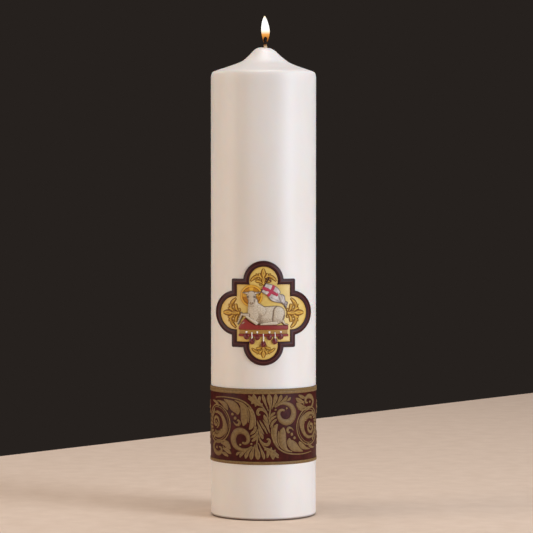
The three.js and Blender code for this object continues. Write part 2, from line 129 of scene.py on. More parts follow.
class Relief:
    """Closed raised shapes on a flat sheet, collected into one piece. Each point is (across, up, out), and
    tone is a paint value from 0, sunk, to 1, raised."""

    def __init__(self):
        self.points = []
        self.faces = []
        self.tones = []

    def add(self, points, faces, tones):
        start = len(self.points)
        self.points.extend(tuple(map(float, p)) for p in points)
        self.tones.extend(float(t) for t in np.clip(tones, 0, 1))
        self.faces.extend(tuple(start + i for i in face) for face in faces)

    def grid_shell(self, rows, tones, closed=False):
        """A closed shell from equal loops of points, capped at both ends unless it closes on itself."""
        rows = np.asarray(rows, float)
        count, loop = rows.shape[:2]
        faces = []
        for i in range(count if closed else count - 1):
            j = (i + 1) % count
            for k in range(loop):
                m = (k + 1) % loop
                faces.append((i * loop + k, j * loop + k, j * loop + m, i * loop + m))
        if not closed:
            faces.append(tuple(range(loop)))
            faces.append(tuple((count - 1) * loop + k for k in reversed(range(loop))))
        self.add(rows.reshape(-1, 3), faces, np.asarray(tones, float).reshape(-1))

    def ribbon(self, line, half, height, section="round", sunk=SUNK, across=9, base=0.0, shade=1.0):
        """A raised strip along a line. half and height are single values or one for each point. shade dims
        the strip's paint."""
        line = np.asarray(line, float)
        half = np.broadcast_to(np.asarray(half, float), len(line))
        height = np.broadcast_to(np.asarray(height, float), len(line))
        s = np.linspace(-1, 1, across)
        rise, tone = SECTIONS[section](s)
        left = sideways(line)
        rows = []
        tones = []
        for at, aside, h, top in zip(line, left, half, height):
            across_up = at + np.outer(s * h, aside)
            upper = np.column_stack([across_up, base + rise * top])
            lower = [[*(at + aside * h), sunk], [*(at - aside * h), sunk]]
            rows.append(np.vstack([upper, lower]))
            tones.append(np.concatenate([tone * shade, [0, 0]]))
        self.grid_shell(rows, tones)

    def stroke(self, points, height, section="round", across=9, fuller=FULLNESS, **more):
        """A strip through (x, y, half width) points, lower where it is narrow."""
        line = spline(points, 6 * len(points))
        half = np.maximum(line[:, 2] * fuller, 0.12)
        top = height * (0.5 + 0.5 * smoothstep(0.1, 0.8, half))
        self.ribbon(line[:, :2], half, top, section, across=across, **more)

    def leaf(self, root, tip, width, height, bend=0.0, section="leaf", count=13, fullest=0.45, grow=0.0,
             **more):
        """A pointed leaf from root to tip, widest at the share called fullest and bent to its left."""
        root = np.asarray(root, float)
        tip = np.asarray(tip, float)
        aside = np.array([root[1] - tip[1], tip[0] - root[0]]) / np.linalg.norm(tip - root)
        line = spline([root, (root + tip) / 2 + aside * bend, tip], count)
        t = np.linspace(0, 1, count)
        shape = np.sin(math.pi * t ** (math.log(0.5) / math.log(fullest))) ** 0.75
        half = 0.06 + grow + width / 2 * shape
        self.ribbon(line, half, height * (0.45 + 0.55 * shape), section, **more)

    def dome(self, x, y, radius, height, tone=1.0, sunk=SUNK, sides=14, base=0.0, stretch=1.0):
        """A round bead, or an oval one if stretch isn't 1."""
        rings = [  # share of the radius, height and share of the tone
            (1, sunk, 0), (1, base, 0.25), (0.92, base + 0.45 * height, 0.7),
            (0.7, base + 0.75 * height, 0.9), (0.38, base + 0.94 * height, 1),
        ]
        widest = circle(sides) * [radius, radius * stretch]
        points = [[x + r * a, y + r * b, z] for r, z, _ in rings for a, b in widest]
        values = [tone * share for _, _, share in rings for _ in widest]
        faces = [tuple(range(sides))[::-1]]
        for i in range(len(rings) - 1):
            for k in range(sides):
                m = (k + 1) % sides
                faces.append((i * sides + k, i * sides + m, (i + 1) * sides + m, (i + 1) * sides + k))
        last = (len(rings) - 1) * sides
        points.append([x, y, base + height])
        values.append(tone)
        faces.extend((last + k, last + (k + 1) % sides, len(points) - 1) for k in range(sides))
        self.add(points, faces, values)

    def sheet(self, outline, spacing, shape_at, sunk=SUNK):
        """A plate cut to an outline. shape_at gives the height and tone of points from their distance in."""
        outline = np.asarray(outline, float)
        count = len(outline)
        low = outline.min(0)
        high = outline.max(0)
        inside = []
        for j, y in enumerate(np.arange(low[1], high[1], spacing * 0.866)):
            for x in np.arange(low[0] + (j % 2) * spacing / 2, high[0], spacing):
                inside.append((x, y))
        inside = np.asarray(inside)
        depth = edge_distance(inside, outline)
        inside = inside[depth > spacing * 0.45]
        flat = np.vstack([outline, inside])
        edges = [(i, (i + 1) % count) for i in range(count)]
        result = delaunay_2d_cdt([Vector(p) for p in flat], edges, [], 1, 1e-5)
        flat = np.array([v[:] for v in result[0]])
        depth = np.maximum(edge_distance(flat, outline), 0)
        height, tone = shape_at(flat, depth)
        top = np.column_stack([flat, height])
        bottom = np.column_stack([flat, np.full(len(flat), sunk)])
        faces = [tuple(f) for f in result[2]]
        directed = {(f[i], f[(i + 1) % len(f)]) for f in faces for i in range(len(f))}
        rim = [(a, b) for a, b in directed if (b, a) not in directed]
        n = len(flat)
        walls = [(b, a, n + a, n + b) for a, b in rim]
        under = [tuple(n + i for i in reversed(f)) for f in faces]
        self.add(np.vstack([top, bottom]), faces + walls + under, np.concatenate([tone, np.zeros(n)]))

    def moved(self, x=0.0, y=0.0, turned=0.0, stretch=(1.0, 1.0)):
        """A copy that is stretched, then turned anticlockwise by degrees, then moved along the sheet."""
        copy = Relief()
        flat = np.array(self.points)
        across, up = flat[:, 0] * stretch[0], flat[:, 1] * stretch[1]
        c, s = math.cos(math.radians(turned)), math.sin(math.radians(turned))
        copy.points = list(zip(x + across * c - up * s, y + across * s + up * c, flat[:, 2]))
        copy.faces = list(self.faces)
        copy.tones = list(self.tones)
        return copy


def edge_distance(points, outline):
    """Distance of each point from a closed outline, negative outside it."""
    points = np.asarray(points, float)
    a = np.asarray(outline, float)
    b = np.roll(a, -1, axis=0)
    step = b - a
    from_a = points[:, None, :] - a[None]
    t = np.clip((from_a * step).sum(2) / np.maximum((step**2).sum(1), 1e-12), 0, 1)
    distance = np.sqrt(((from_a - t[..., None] * step) ** 2).sum(2)).min(1)
    crosses = (a[:, 1] > points[:, None, 1]) != (b[:, 1] > points[:, None, 1])
    with np.errstate(divide="ignore", invalid="ignore"):
        at = a[:, 0] + (points[:, None, 1] - a[:, 1]) * step[:, 0] / step[:, 1]
    inside = (crosses & (points[:, None, 0] < at)).sum(1) % 2 == 1
    return np.where(inside, distance, -distance)


def round_section(s):
    rise = np.maximum(0, 1 - np.abs(s) ** 3) ** 0.5
    return rise, rise


def flat_section(s):
    rise = 1 - np.abs(s) ** 6
    return rise, smoothstep(0, 0.6, rise)


def leaf_section(s):
    """A leaf blade with a raised rim line on each side and a sunk line inside it."""
    groove = np.exp(-(((np.abs(s) - 0.66) / 0.09) ** 2))
    rise = np.maximum(0, 1 - s**4) ** 0.5
    return rise * (1 - 0.5 * groove), rise * (1 - 0.62 * groove)


def veined_section(s):
    """A blade that is parted along its middle."""
    groove = np.exp(-((s / 0.2) ** 2))
    rise = np.maximum(0, 1 - s**4) ** 0.5
    return rise * (1 - 0.45 * groove), rise * (1 - 0.55 * groove)


SECTIONS = {"round": round_section, "flat": flat_section, "leaf": leaf_section, "veined": veined_section}


def round_wax(points, middle, turn_of, start):
    """Bends flat (across, up, out) points round the pillar. turn_of gives an angle for each across value,
    and start is the sheet's height off the wax."""
    points = np.asarray(points, float)
    turn = turn_of(points[:, 0])
    radius = RADIUS + start + points[:, 2]
    placed = np.column_stack([radius * np.sin(turn), -radius * np.cos(turn), middle + points[:, 1]])
    return placed * MM


def new_object(name, data):
    thing = bpy.data.objects.new(name, data)
    bpy.context.scene.collection.objects.link(thing)
    return thing


def mesh_piece(name, points, faces, material, nodes, tones=None):
    """A smooth piece of the candle's one body, in place of the CAD nodes."""
    mesh = bpy.data.meshes.new(name)
    mesh.from_pydata([tuple(p) for p in points], [], [tuple(f) for f in faces])
    mesh.validate()
    if tones is not None:
        tone = mesh.attributes.new("tone", "FLOAT", "POINT")
        tone.data.foreach_set("value", np.asarray(tones, np.float32))
    mesh.shade_smooth()
    mesh.materials.append(material)
    piece = new_object(name, mesh)
    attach(piece, "root")
    if nodes:
        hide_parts(*nodes)


def lathe(profile, sides):
    """A closed surface from an (r, z) profile that starts and ends on the axis."""
    points = [(0, 0, profile[0][1])]
    rings = profile[1:-1]
    for r, z in rings:
        points.extend((r * a, r * b, z) for a, b in circle(sides))
    points.append((0, 0, profile[-1][1]))
    last = len(points) - 1
    faces = []
    for k in range(sides):
        m = (k + 1) % sides
        faces.append((0, 1 + m, 1 + k))
        for i in range(len(rings) - 1):
            a = 1 + i * sides
            faces.append((a + k, a + m, a + sides + m, a + sides + k))
        top = 1 + (len(rings) - 1) * sides
        faces.append((top + k, top + m, last))
    return np.array(points, float), faces


# ---------------------------------------------------------------- materials

def srgb(red, green, blue):
    """Colour from 0 to 255 screen values, as linear light."""
    def linear(value):
        value /= 255
        return value / 12.92 if value <= 0.04045 else ((value + 0.055) / 1.055) ** 2.4
    return (linear(red), linear(green), linear(blue), 1.0)


BLACK = (0, 0, 0, 1)
WHITE = (1, 1, 1, 1)


class Paint:
    """A small wrapper that builds one Principled material from nodes."""

    def __init__(self, name, roughness=0.5, metallic=0.0, specular=0.5):
        self.material = bpy.data.materials.new(name)
        self.material.use_nodes = True
        self.tree = self.material.node_tree
        self.shader = self.tree.nodes["Principled BSDF"]
        self.shader.inputs["Roughness"].default_value = roughness
        self.shader.inputs["Metallic"].default_value = metallic
        self.shader.inputs["Specular IOR Level"].default_value = specular
        self.place = self.tree.nodes.new("ShaderNodeTexCoord").outputs["Object"]

    def link(self, output, target):
        self.tree.links.new(output, target)

    def feed(self, value, target):
        """Links a socket's value or sets a constant one."""
        if isinstance(value, bpy.types.NodeSocket):
            self.link(value, target)
        else:
            target.default_value = value

    def noise(self, scale, detail=4.0, stretch=None):
        node = self.tree.nodes.new("ShaderNodeTexNoise")
        node.inputs["Scale"].default_value = scale
        node.inputs["Detail"].default_value = detail
        node.inputs["Roughness"].default_value = 0.55
        place = self.place
        if stretch:
            mapping = self.tree.nodes.new("ShaderNodeMapping")
            mapping.inputs["Scale"].default_value = stretch
            self.link(place, mapping.inputs["Vector"])
            place = mapping.outputs["Vector"]
        self.link(place, node.inputs["Vector"])
        return node.outputs["Fac"]

    def up(self):
        """Height above the table, in metres."""
        node = self.tree.nodes.new("ShaderNodeSeparateXYZ")
        self.link(self.place, node.inputs["Vector"])
        return node.outputs["Z"]

    def attribute(self, name):
        node = self.tree.nodes.new("ShaderNodeAttribute")
        node.attribute_name = name
        return node.outputs["Fac"]

    def ramp(self, value, stops):
        """Colour from a value. stops are (position, colour)."""
        node = self.tree.nodes.new("ShaderNodeValToRGB")
        node.color_ramp.interpolation = "LINEAR"
        elements = node.color_ramp.elements
        while len(elements) < len(stops):
            elements.new(0.5)
        for element, (position, colour) in zip(elements, stops):
            element.position = position
            element.color = colour
        self.link(value, node.inputs["Fac"])
        return node.outputs["Color"]

    def mix(self, factor, first, second):
        node = self.tree.nodes.new("ShaderNodeMix")
        node.data_type = "RGBA"
        for value, socket in ((factor, node.inputs[0]), (first, node.inputs[6]), (second, node.inputs[7])):
            self.feed(value, socket)
        return node.outputs[2]

    def divide(self, first, second):
        node = self.tree.nodes.new("ShaderNodeMath")
        node.operation = "DIVIDE"
        for value, socket in zip((first, second), node.inputs):
            self.feed(value, socket)
        return node.outputs[0]

    def mask(self, value, low, high):
        """Black below low, white above high."""
        return self.ramp(value, [(low, BLACK), (high, WHITE)])

    def range(self, value, low, high):
        """Spreads a 0 to 1 value between low and high."""
        node = self.tree.nodes.new("ShaderNodeMapRange")
        node.inputs["To Min"].default_value = low
        node.inputs["To Max"].default_value = high
        self.link(value, node.inputs["Value"])
        return node.outputs["Result"]

    def set(self, name, value):
        self.feed(value, self.shader.inputs[name])

    def colour(self, value):
        self.set("Base Color", value)

    def bump(self, height, distance, strength):
        node = self.tree.nodes.new("ShaderNodeBump")
        node.inputs["Strength"].default_value = strength
        node.inputs["Distance"].default_value = distance
        self.link(height, node.inputs["Height"])
        self.link(node.outputs["Normal"], self.shader.inputs["Normal"])


MAROON = srgb(72, 32, 28)
DEEP_MAROON = srgb(52, 18, 14)
BAND_GOLD = srgb(130, 101, 61)
FOOT_SHADE_HEIGHT = 0.0022   # height of the painted shade along the foot's lower edge, in metres


def ivory_wax():
    """Smooth wax that light sinks into, with faint clouds, a fine uneven skin and painted shade along the
    foot.
    """
    paint = Paint("ivory_wax", specular=0.4)
    clouds = paint.noise(18, detail=3, stretch=(1, 1, 0.35))
    clean = paint.ramp(clouds, [(0.3, srgb(232, 220, 206)), (0.7, srgb(241, 232, 221))])
    # painted shade: the wax turns dark brown towards the table, standing in for the shadow under the rounded
    # foot
    above_foot_shade = paint.mask(paint.divide(paint.up(), FOOT_SHADE_HEIGHT), 0.3, 1.0)
    paint.colour(paint.mix(above_foot_shade, srgb(98, 68, 46), clean))
    paint.set("Subsurface Weight", 0.35)
    paint.set("Subsurface Radius", (1.0, 0.62, 0.4))
    paint.set("Subsurface Scale", 0.004)
    paint.set("Roughness", paint.range(paint.noise(160, detail=2), 0.36, 0.5))
    paint.bump(paint.noise(420, detail=5), 0.00006, 0.6)
    return paint.material


def maroon_wax():
    paint = Paint("maroon_wax", specular=0.1)
    mottle = paint.noise(260, detail=6)
    paint.colour(paint.ramp(mottle, [(0.3, DEEP_MAROON), (0.7, srgb(78, 28, 22))]))
    paint.set("Roughness", paint.range(paint.noise(500), 0.42, 0.6))
    paint.bump(paint.noise(900, detail=5), 0.00004, 0.7)
    return paint.material


def scroll_gold():
    """Antique gold on raised wax: gold on top, brown in the lines, maroon at the foot of each shape."""
    paint = Paint("scroll_gold", specular=0.15)
    worn = paint.noise(700, detail=6)
    gold = paint.ramp(worn, [(0.3, srgb(112, 86, 52)), (0.55, BAND_GOLD), (0.8, srgb(143, 115, 73))])
    tone = paint.attribute("tone")
    lined = paint.ramp(tone, [(0.0, MAROON), (0.45, srgb(92, 58, 38))])
    paint.colour(paint.mix(paint.mask(tone, 0.3, 0.6), lined, gold))
    paint.set("Roughness", paint.range(worn, 0.4, 0.58))
    paint.bump(worn, 0.00005, 0.6)
    return paint.material


def painted(name, stops, shade, amount=0.35, roughness=0.5, specular=0.35, scale=700, relief=0.00004):
    """Wax coloured by how far it is raised, clouded with a shade of its own and a little rough."""
    paint = Paint(name, specular=specular)
    cloud = paint.noise(scale, detail=6)
    tinted = paint.ramp(paint.attribute("tone"), stops)
    paint.colour(paint.mix(paint.range(cloud, -0.2, 2 * amount), tinted, shade))
    paint.set("Roughness", paint.range(cloud, roughness - 0.08, roughness + 0.1))
    paint.bump(cloud, relief, 0.6)
    return paint.material


def field_gold():
    stops = [(0.0, srgb(140, 92, 40)), (0.35, srgb(214, 170, 78)), (1.0, srgb(230, 196, 106))]
    return painted("field_gold", stops, srgb(206, 160, 72), scale=320, roughness=0.42, specular=0.5)


def filigree_gold():
    stops = [(0.0, srgb(104, 62, 20)), (0.35, srgb(146, 94, 32)), (0.85, srgb(212, 162, 66)),
             (1.0, srgb(222, 176, 80))]
    return painted("filigree_gold", stops, srgb(162, 108, 38), amount=0.25, specular=0.15)


def halo_gold():
    stops = [(0.0, srgb(96, 54, 16)), (0.45, srgb(204, 134, 30)), (1.0, srgb(238, 186, 66))]
    return painted("halo_gold", stops, srgb(196, 128, 32), roughness=0.4, specular=0.5)


def lamb_white():
    stops = [(0.0, srgb(48, 32, 24)), (0.28, srgb(118, 94, 74)), (0.6, srgb(188, 168, 142)),
             (1.0, srgb(232, 216, 189))]
    return painted("lamb_white", stops, srgb(170, 148, 118), amount=0.3, scale=1100)


def banner_white():
    stops = [(0.0, srgb(70, 50, 42)), (0.4, srgb(150, 133, 120)), (0.75, srgb(200, 187, 174)),
             (1.0, srgb(224, 214, 203))]
    return painted("banner_white", stops, srgb(186, 168, 154), amount=0.3, scale=1100)


def ribbon_white():
    stops = [(0.0, srgb(120, 92, 70)), (0.4, srgb(214, 200, 182)), (1.0, srgb(246, 240, 230))]
    return painted("ribbon_white", stops, srgb(214, 202, 186), amount=0.2)


def cross_red():
    stops = [(0.0, srgb(120, 26, 44)), (0.4, srgb(164, 42, 64)), (1.0, srgb(186, 58, 80))]
    return painted("cross_red", stops, srgb(150, 34, 56), amount=0.3)


def cover_red():
    stops = [(0.0, srgb(70, 20, 16)), (0.4, srgb(132, 40, 32)), (1.0, srgb(152, 50, 42))]
    return painted("cover_red", stops, srgb(112, 34, 28))


def page_gold():
    stops = [(0.0, srgb(110, 68, 26)), (0.5, srgb(176, 128, 56)), (1.0, srgb(206, 162, 84))]
    return painted("page_gold", stops, srgb(150, 104, 44), amount=0.3)


def seal_maroon():
    stops = [(0.0, srgb(60, 18, 16)), (0.5, srgb(120, 36, 34)), (1.0, srgb(150, 56, 48))]
    return painted("seal_maroon", stops, srgb(84, 24, 22), roughness=0.35, specular=0.55)


def border_maroon():
    stops = [(0.0, srgb(34, 10, 8)), (0.5, srgb(60, 20, 17)), (1.0, srgb(92, 46, 38))]
    return painted("border_maroon", stops, srgb(44, 14, 12), specular=0.25)


def charred_wick():
    """Cotton, waxed and pale at its foot and burnt black above."""
    paint = Paint("charred_wick", roughness=0.95, specular=0.1)
    height = paint.attribute("tone")
    speckle = paint.noise(1500, detail=6)
    char = paint.ramp(speckle, [(0.3, srgb(18, 14, 12)), (0.7, srgb(52, 40, 33))])
    stops = [(0.0, srgb(238, 214, 176)), (0.28, srgb(170, 118, 66)), (0.42, srgb(30, 22, 18))]
    paint.colour(paint.mix(paint.mask(height, 0.25, 0.45), paint.ramp(height, stops), char))
    paint.bump(speckle, 0.0002, 0.8)
    return paint.material


def flame_light():
    """Burning vapour: clear and dark amber round the wick, white above it, faintly yellow at the tip."""
    paint = Paint("flame_light", roughness=1.0, specular=0.0)
    height = paint.attribute("tone")
    glow = paint.ramp(height, [
        (0.0, srgb(110, 56, 20)), (0.2, srgb(196, 120, 46)), (0.34, srgb(226, 158, 76)),
        (0.45, srgb(252, 240, 218)), (0.55, srgb(255, 254, 248)), (0.9, srgb(255, 254, 248)),
        (1.0, srgb(250, 226, 170)),
    ])
    solid = paint.ramp(height, [(0.0, (0.15, 0.15, 0.15, 1)), (0.25, (0.6, 0.6, 0.6, 1)), (0.42, WHITE)])
    paint.colour(BLACK)
    paint.set("Alpha", solid)
    paint.set("Emission Color", glow)
    paint.set("Emission Strength", 1.3)
    return paint.material


def tin_plate():
    paint = Paint("tin_plate", metallic=0.95)
    spots = paint.noise(240, detail=6)
    paint.colour(paint.ramp(spots, [(0.3, srgb(150, 146, 138)), (0.7, srgb(206, 203, 196))]))
    paint.set("Roughness", paint.range(spots, 0.25, 0.5))
    paint.bump(paint.noise(900, detail=4), 0.00004, 0.6)
    return paint.material


def table_top():
    paint = Paint("table_top", roughness=0.75, specular=0.2)
    grain = paint.noise(60, detail=6)
    paint.colour(paint.ramp(grain, [(0.3, srgb(231, 204, 177)), (0.7, srgb(239, 213, 187))]))
    paint.bump(paint.noise(300, detail=4), 0.0002, 0.3)
    return paint.material


# ---------------------------------------------------------------- candle body, wick and flame

FOOT_ROUND = 1.6      # radius of the rounded edge of the foot
RECESS_RADIUS = 11    # of the shallow recess in the foot, which holds the sustainer
RECESS_DEPTH = 1.2
RECESS_EDGE = 0.3     # bevel round the recess
SUSTAINER_LOW, SUSTAINER_HIGH = (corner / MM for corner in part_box("wick_sustainer"))
WORN_TOP = [  # radius and drop below the peak, from the wall to the hollow round the wick
    (RADIUS, 21.5), (RADIUS - 0.5, 18.9), (RADIUS - 2.0, 17.3), (27, 14.1), (18, 10.7), (12.4, 6.6),
    (7.4, 1.9), (3.6, 0.1), (1.9, 0.7), (1.4, 2.2),
]
WALL_DROP = 26     # how far below the peak the straight wall ends
HOLLOW_DROP = 3    # depth of the hollow round the wick
PEAK_LEAN = 0.09   # slope of the peak, which is higher on its left
PEAK_SHIFT = 1.2   # how far the peak has worn to the right of the pillar's axis
WAVES = 0.25       # height of the uneven places that burning leaves


def wax_body(material):
    """The pillar: a foot with a recess, a straight wall, and a top that has burned down to a small cone."""
    foot = [(0, RECESS_DEPTH), (RECESS_RADIUS - RECESS_EDGE, RECESS_DEPTH),
            (RECESS_RADIUS, RECESS_DEPTH - RECESS_EDGE), (RECESS_RADIUS, RECESS_EDGE),
            (RECESS_RADIUS + RECESS_EDGE, 0)]
    corner = [(RADIUS - FOOT_ROUND * (1 - math.sin(a)), FOOT_ROUND * (1 - math.cos(a)))
              for a in np.linspace(0, math.pi / 2, 9)]
    wall = [(RADIUS, z) for z in np.linspace(6, PEAK - WALL_DROP, 40)]
    worn = [(r, PEAK - drop) for r, drop in spline(WORN_TOP, 60)]
    points, faces = lathe(foot + corner + wall + worn + [(0, PEAK - HOLLOW_DROP)], 160)
    radius = np.hypot(points[:, 0], points[:, 1])
    near_wick = smoothstep(16, 5, radius) * (points[:, 2] > PEAK - 12)
    points[:, 2] -= PEAK_LEAN * points[:, 0] * near_wick
    points[:, 0] += PEAK_SHIFT * smoothstep(26, 10, radius) * (points[:, 2] > PEAK - 20)
    for p in points:
        if p[2] > PEAK - 24:
            p[2] += WAVES * noise.noise(Vector(p) * 0.09) * smoothstep(PEAK - 24, PEAK - 18, p[2])
    mesh_piece("wax_body", points * MM, faces, material, ["candle_body"])


def sustainer(material):
    """The stamped metal tab in the recess under the foot: a disc with a rolled rim, a ring and four ribs."""
    rim = SUSTAINER_HIGH.x
    under, over = SUSTAINER_LOW.z, SUSTAINER_LOW.z + 0.5
    profile = [(0, under + 0.35), (1.4, under + 0.35), (1.7, under), (2.6, under), (2.8, under + 0.15)]
    profile += [(r, under + 0.15) for r in np.linspace(3.2, rim - 1.4, 14)]
    profile += [(rim - 1.0, under), (rim - 0.2, under), (rim, under + 0.2), (rim - 0.1, over), (3, over),
                (2.8, RECESS_DEPTH), (0, RECESS_DEPTH)]
    points, faces = lathe(profile, 96)
    radius = np.hypot(points[:, 0], points[:, 1])
    turn = np.arctan2(points[:, 1], points[:, 0])
    on_rib = smoothstep(0.93, 0.99, np.abs(np.cos(2 * turn))) * smoothstep(3.0, 4.0, radius)
    on_rib = on_rib * smoothstep(rim - 1.4, rim - 2.4, radius) * (points[:, 2] < under + 0.2)
    points[:, 2] -= 0.13 * on_rib
    mesh_piece("sustainer_tab", points * MM, faces, material, ["wick_sustainer"])


STRANDS = 3
STRAND_SIDES = 10


def wick(material):
    """Braided cotton: strands twisted round each other, bent and thinner at the burnt end."""
    low = PEAK - 6
    t = np.linspace(0, 1, 60)
    z = low + (WICK_TIP - low) * t
    aside = PEAK_SHIFT + 0.4 * smoothstep(0.3, 1, t) + 0.25 * np.sin(5 * t)
    centre = np.column_stack([aside, 0.2 * np.sin(4 * t), z])
    thickness = (1.1 + 0.2 * smoothstep(0.55, 0.8, t)) * (1 - smoothstep(0.93, 1.02, t) * 0.6)
    thickness = thickness[:, None]
    section = np.column_stack([circle(STRAND_SIDES)[::-1], np.zeros(STRAND_SIDES)])
    burnt = np.repeat(smoothstep(PEAK - 1, WICK_TIP, z)[:, None], STRAND_SIDES, axis=1)
    braid = Relief()
    for strand in range(STRANDS):
        twist = 2 * math.pi * strand / STRANDS + 9 * t
        middle = centre + 0.5 * thickness * np.column_stack([np.cos(twist), np.sin(twist), 0 * t])
        braid.grid_shell(middle[:, None] + 0.62 * thickness[:, None] * section, burnt)
    points = np.array(braid.points) * MM
    mesh_piece("braided_wick", points, braid.faces, material, ["wick"], braid.tones)


FLAME_HEIGHT = 20
FLAME_BELOW_TIP = 5   # how far the flame reaches down the wick


def flame(material):
    """A slim flame round the burnt end of the wick, flattened at its foot and drawn to a point."""
    profile = spline([(0, 0), (1.2, 0.5), (2.0, 2.6), (2.8, 5.6), (3.2, 8.6), (3.05, 11.6), (2.3, 15.2),
                      (1.3, 18.0), (0.5, 19.6), (0, FLAME_HEIGHT)], 48)
    points, faces = lathe(profile, 32)
    tones = points[:, 2] / FLAME_HEIGHT
    points[:, 0] = 0.94 * points[:, 0] + PEAK_SHIFT + 0.35 * np.sin(4.2 * tones + 0.4)
    points[:, 1] *= 0.2 + 0.8 * smoothstep(5.5, 10, points[:, 2])
    points[:, 2] += WICK_TIP - FLAME_BELOW_TIP
    mesh_piece("flame", points * MM, faces, material, [], tones)


# ---------------------------------------------------------------- band round the foot

BAND_LOW, BAND_HIGH = (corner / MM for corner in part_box("band_ground"))
BAND_MIDDLE = (BAND_LOW.z + BAND_HIGH.z) / 2
UPPER_EDGE = [corner.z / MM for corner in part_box("band_edge_upper")]
LOWER_EDGE = [corner.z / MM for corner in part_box("band_edge_lower")]
BAND_SHEET = 0.35           # thickness of the band's ground, which lies on the wax
EDGE_OUT = 0.65             # how far the gold edge strips stand out from the wax
SEAM_TURN = 0.25 / RADIUS   # half of the butt joint at the back, in radians


def strip_round(name, profile, material, node, tones=None):
    """A strip with the given (out, z) section, from one side of the butt joint at the back to the other."""
    turns = np.linspace(math.pi / 2 + SEAM_TURN, math.pi * 2.5 - SEAM_TURN, 181)
    relief = Relief()
    rows = [[((RADIUS + out) * math.cos(a), (RADIUS + out) * math.sin(a), z) for out, z in profile]
            for a in turns]
    relief.grid_shell(rows, [tones or [1] * len(profile)] * len(rows))
    mesh_piece(name, np.array(relief.points) * MM, relief.faces, material, [node], relief.tones)


def band_strips(ground, gold):
    """The band's ground and the gold strip along each of its edges. The upper strip has a groove."""
    low, high = BAND_LOW.z, BAND_HIGH.z
    section = [(SUNK, high), (BAND_SHEET - 0.1, high), (BAND_SHEET, high - 0.15), (BAND_SHEET, low + 0.15),
               (BAND_SHEET - 0.1, low), (SUNK, low)]
    strip_round("band_cloth", section, ground, "band_ground")
    groove = [(0.38, 0.0), (0.42, -0.2), (0.46, 0.0)]
    for place, (low, high), middle in (("upper", UPPER_EDGE, groove), ("lower", LOWER_EDGE, [])):
        marks = [(0.0, -0.15), (0.03, 0.0), *middle, (0.97, 0.0), (1.0, -0.15)]
        outer = [(EDGE_OUT + rise, high - share * (high - low)) for share, rise in marks]
        tones = [0] + [0.25 if rise < 0 else 1 for _, rise in marks] + [0]
        profile = [(SUNK, high), *outer, (SUNK, low)]
        strip_round(f"band_{place}_edge", profile, gold, f"band_edge_{place}", tones)


VOLUTE = np.array([-39.0, 0.8])
VOLUTE_RADIUS = 14.2
ALMOST_ROUND = 0.999          # turns of a ring whose ends all but meet
ORNAMENT = 0.5                # height of the tallest ornament above the band's ground


def volute():
    """A large scroll: two thin rings, a crescent with a comb of short leaves outside it and another inside
    it, and a coil that winds in to an eye."""
    relief = Relief()
    outer = VOLUTE_RADIUS - 0.6
    inner = VOLUTE_RADIUS - 2.5
    relief.ribbon(spiral(VOLUTE, outer, outer, 75, ALMOST_ROUND, 72), 0.6, 0.4, across=7)
    relief.ribbon(spiral(VOLUTE, inner, inner + 0.4, -150, 0.72, 52), 0.34, 0.3, across=5)
    relief.stroke([(-44.5, 8.6, 0.4), (-38.6, 9.0, 1.0), (-33.8, 6.9, 1.3), (-30.9, 2.2, 1.8),
                   (-30.7, -2.6, 2.5), (-33.8, -6.2, 1.9), (-38.8, -8.2, 1.2), (-44.4, -7.6, 0.5)],
                  ORNAMENT, "leaf", across=15)
    short = {"section": "round", "count": 9, "across": 7}
    for at in 118 + 15.5 * np.arange(9):
        root, tip = polar(VOLUTE, VOLUTE_RADIUS - 1.4, at), polar(VOLUTE, VOLUTE_RADIUS - 6.2, at + 11)
        relief.leaf(root, tip, 2.5, 0.44, bend=0.4, **short)
    for at in -40 - 15.0 * np.arange(6):
        relief.leaf(polar(VOLUTE, 7.8, at), polar(VOLUTE, 5.3, at - 9), 1.5, 0.42, bend=-0.3, **short)
    swell = np.sin(np.linspace(0, math.pi, 60)) ** 0.6
    relief.ribbon(spiral(VOLUTE + [-2.0, 1.2], 4.4, 1.9, -75, 1.2, 60), 0.45 + 0.85 * swell, ORNAMENT)
    relief.dome(-41.0, 2.2, 0.9, 0.5)
    return relief


def c_scroll():
    """An open ring that swells along its back and curls in to a knob, with two berries near the knob."""
    relief = Relief()
    relief.stroke([(-8.3, -14.0, 0.5), (-11.6, -16.2, 0.8), (-16.2, -16.5, 1.15), (-20.8, -14.2, 1.7),
                   (-22.7, -9.4, 2.15), (-20.8, -4.7, 2.15), (-16.7, -3.0, 2.1), (-12.7, -4.6, 1.7),
                   (-10.9, -8.0, 1.35), (-11.3, -11.0, 1.1), (-13.5, -12.1, 0.85), (-14.9, -11.6, 0.6)],
                  ORNAMENT, "leaf", across=13)
    relief.dome(-14.6, -11.7, 0.95, 0.55)
    relief.dome(-16.9, -13.1, 0.85, 0.5)
    relief.dome(-8.6, -12.3, 0.8, 0.5)
    return relief


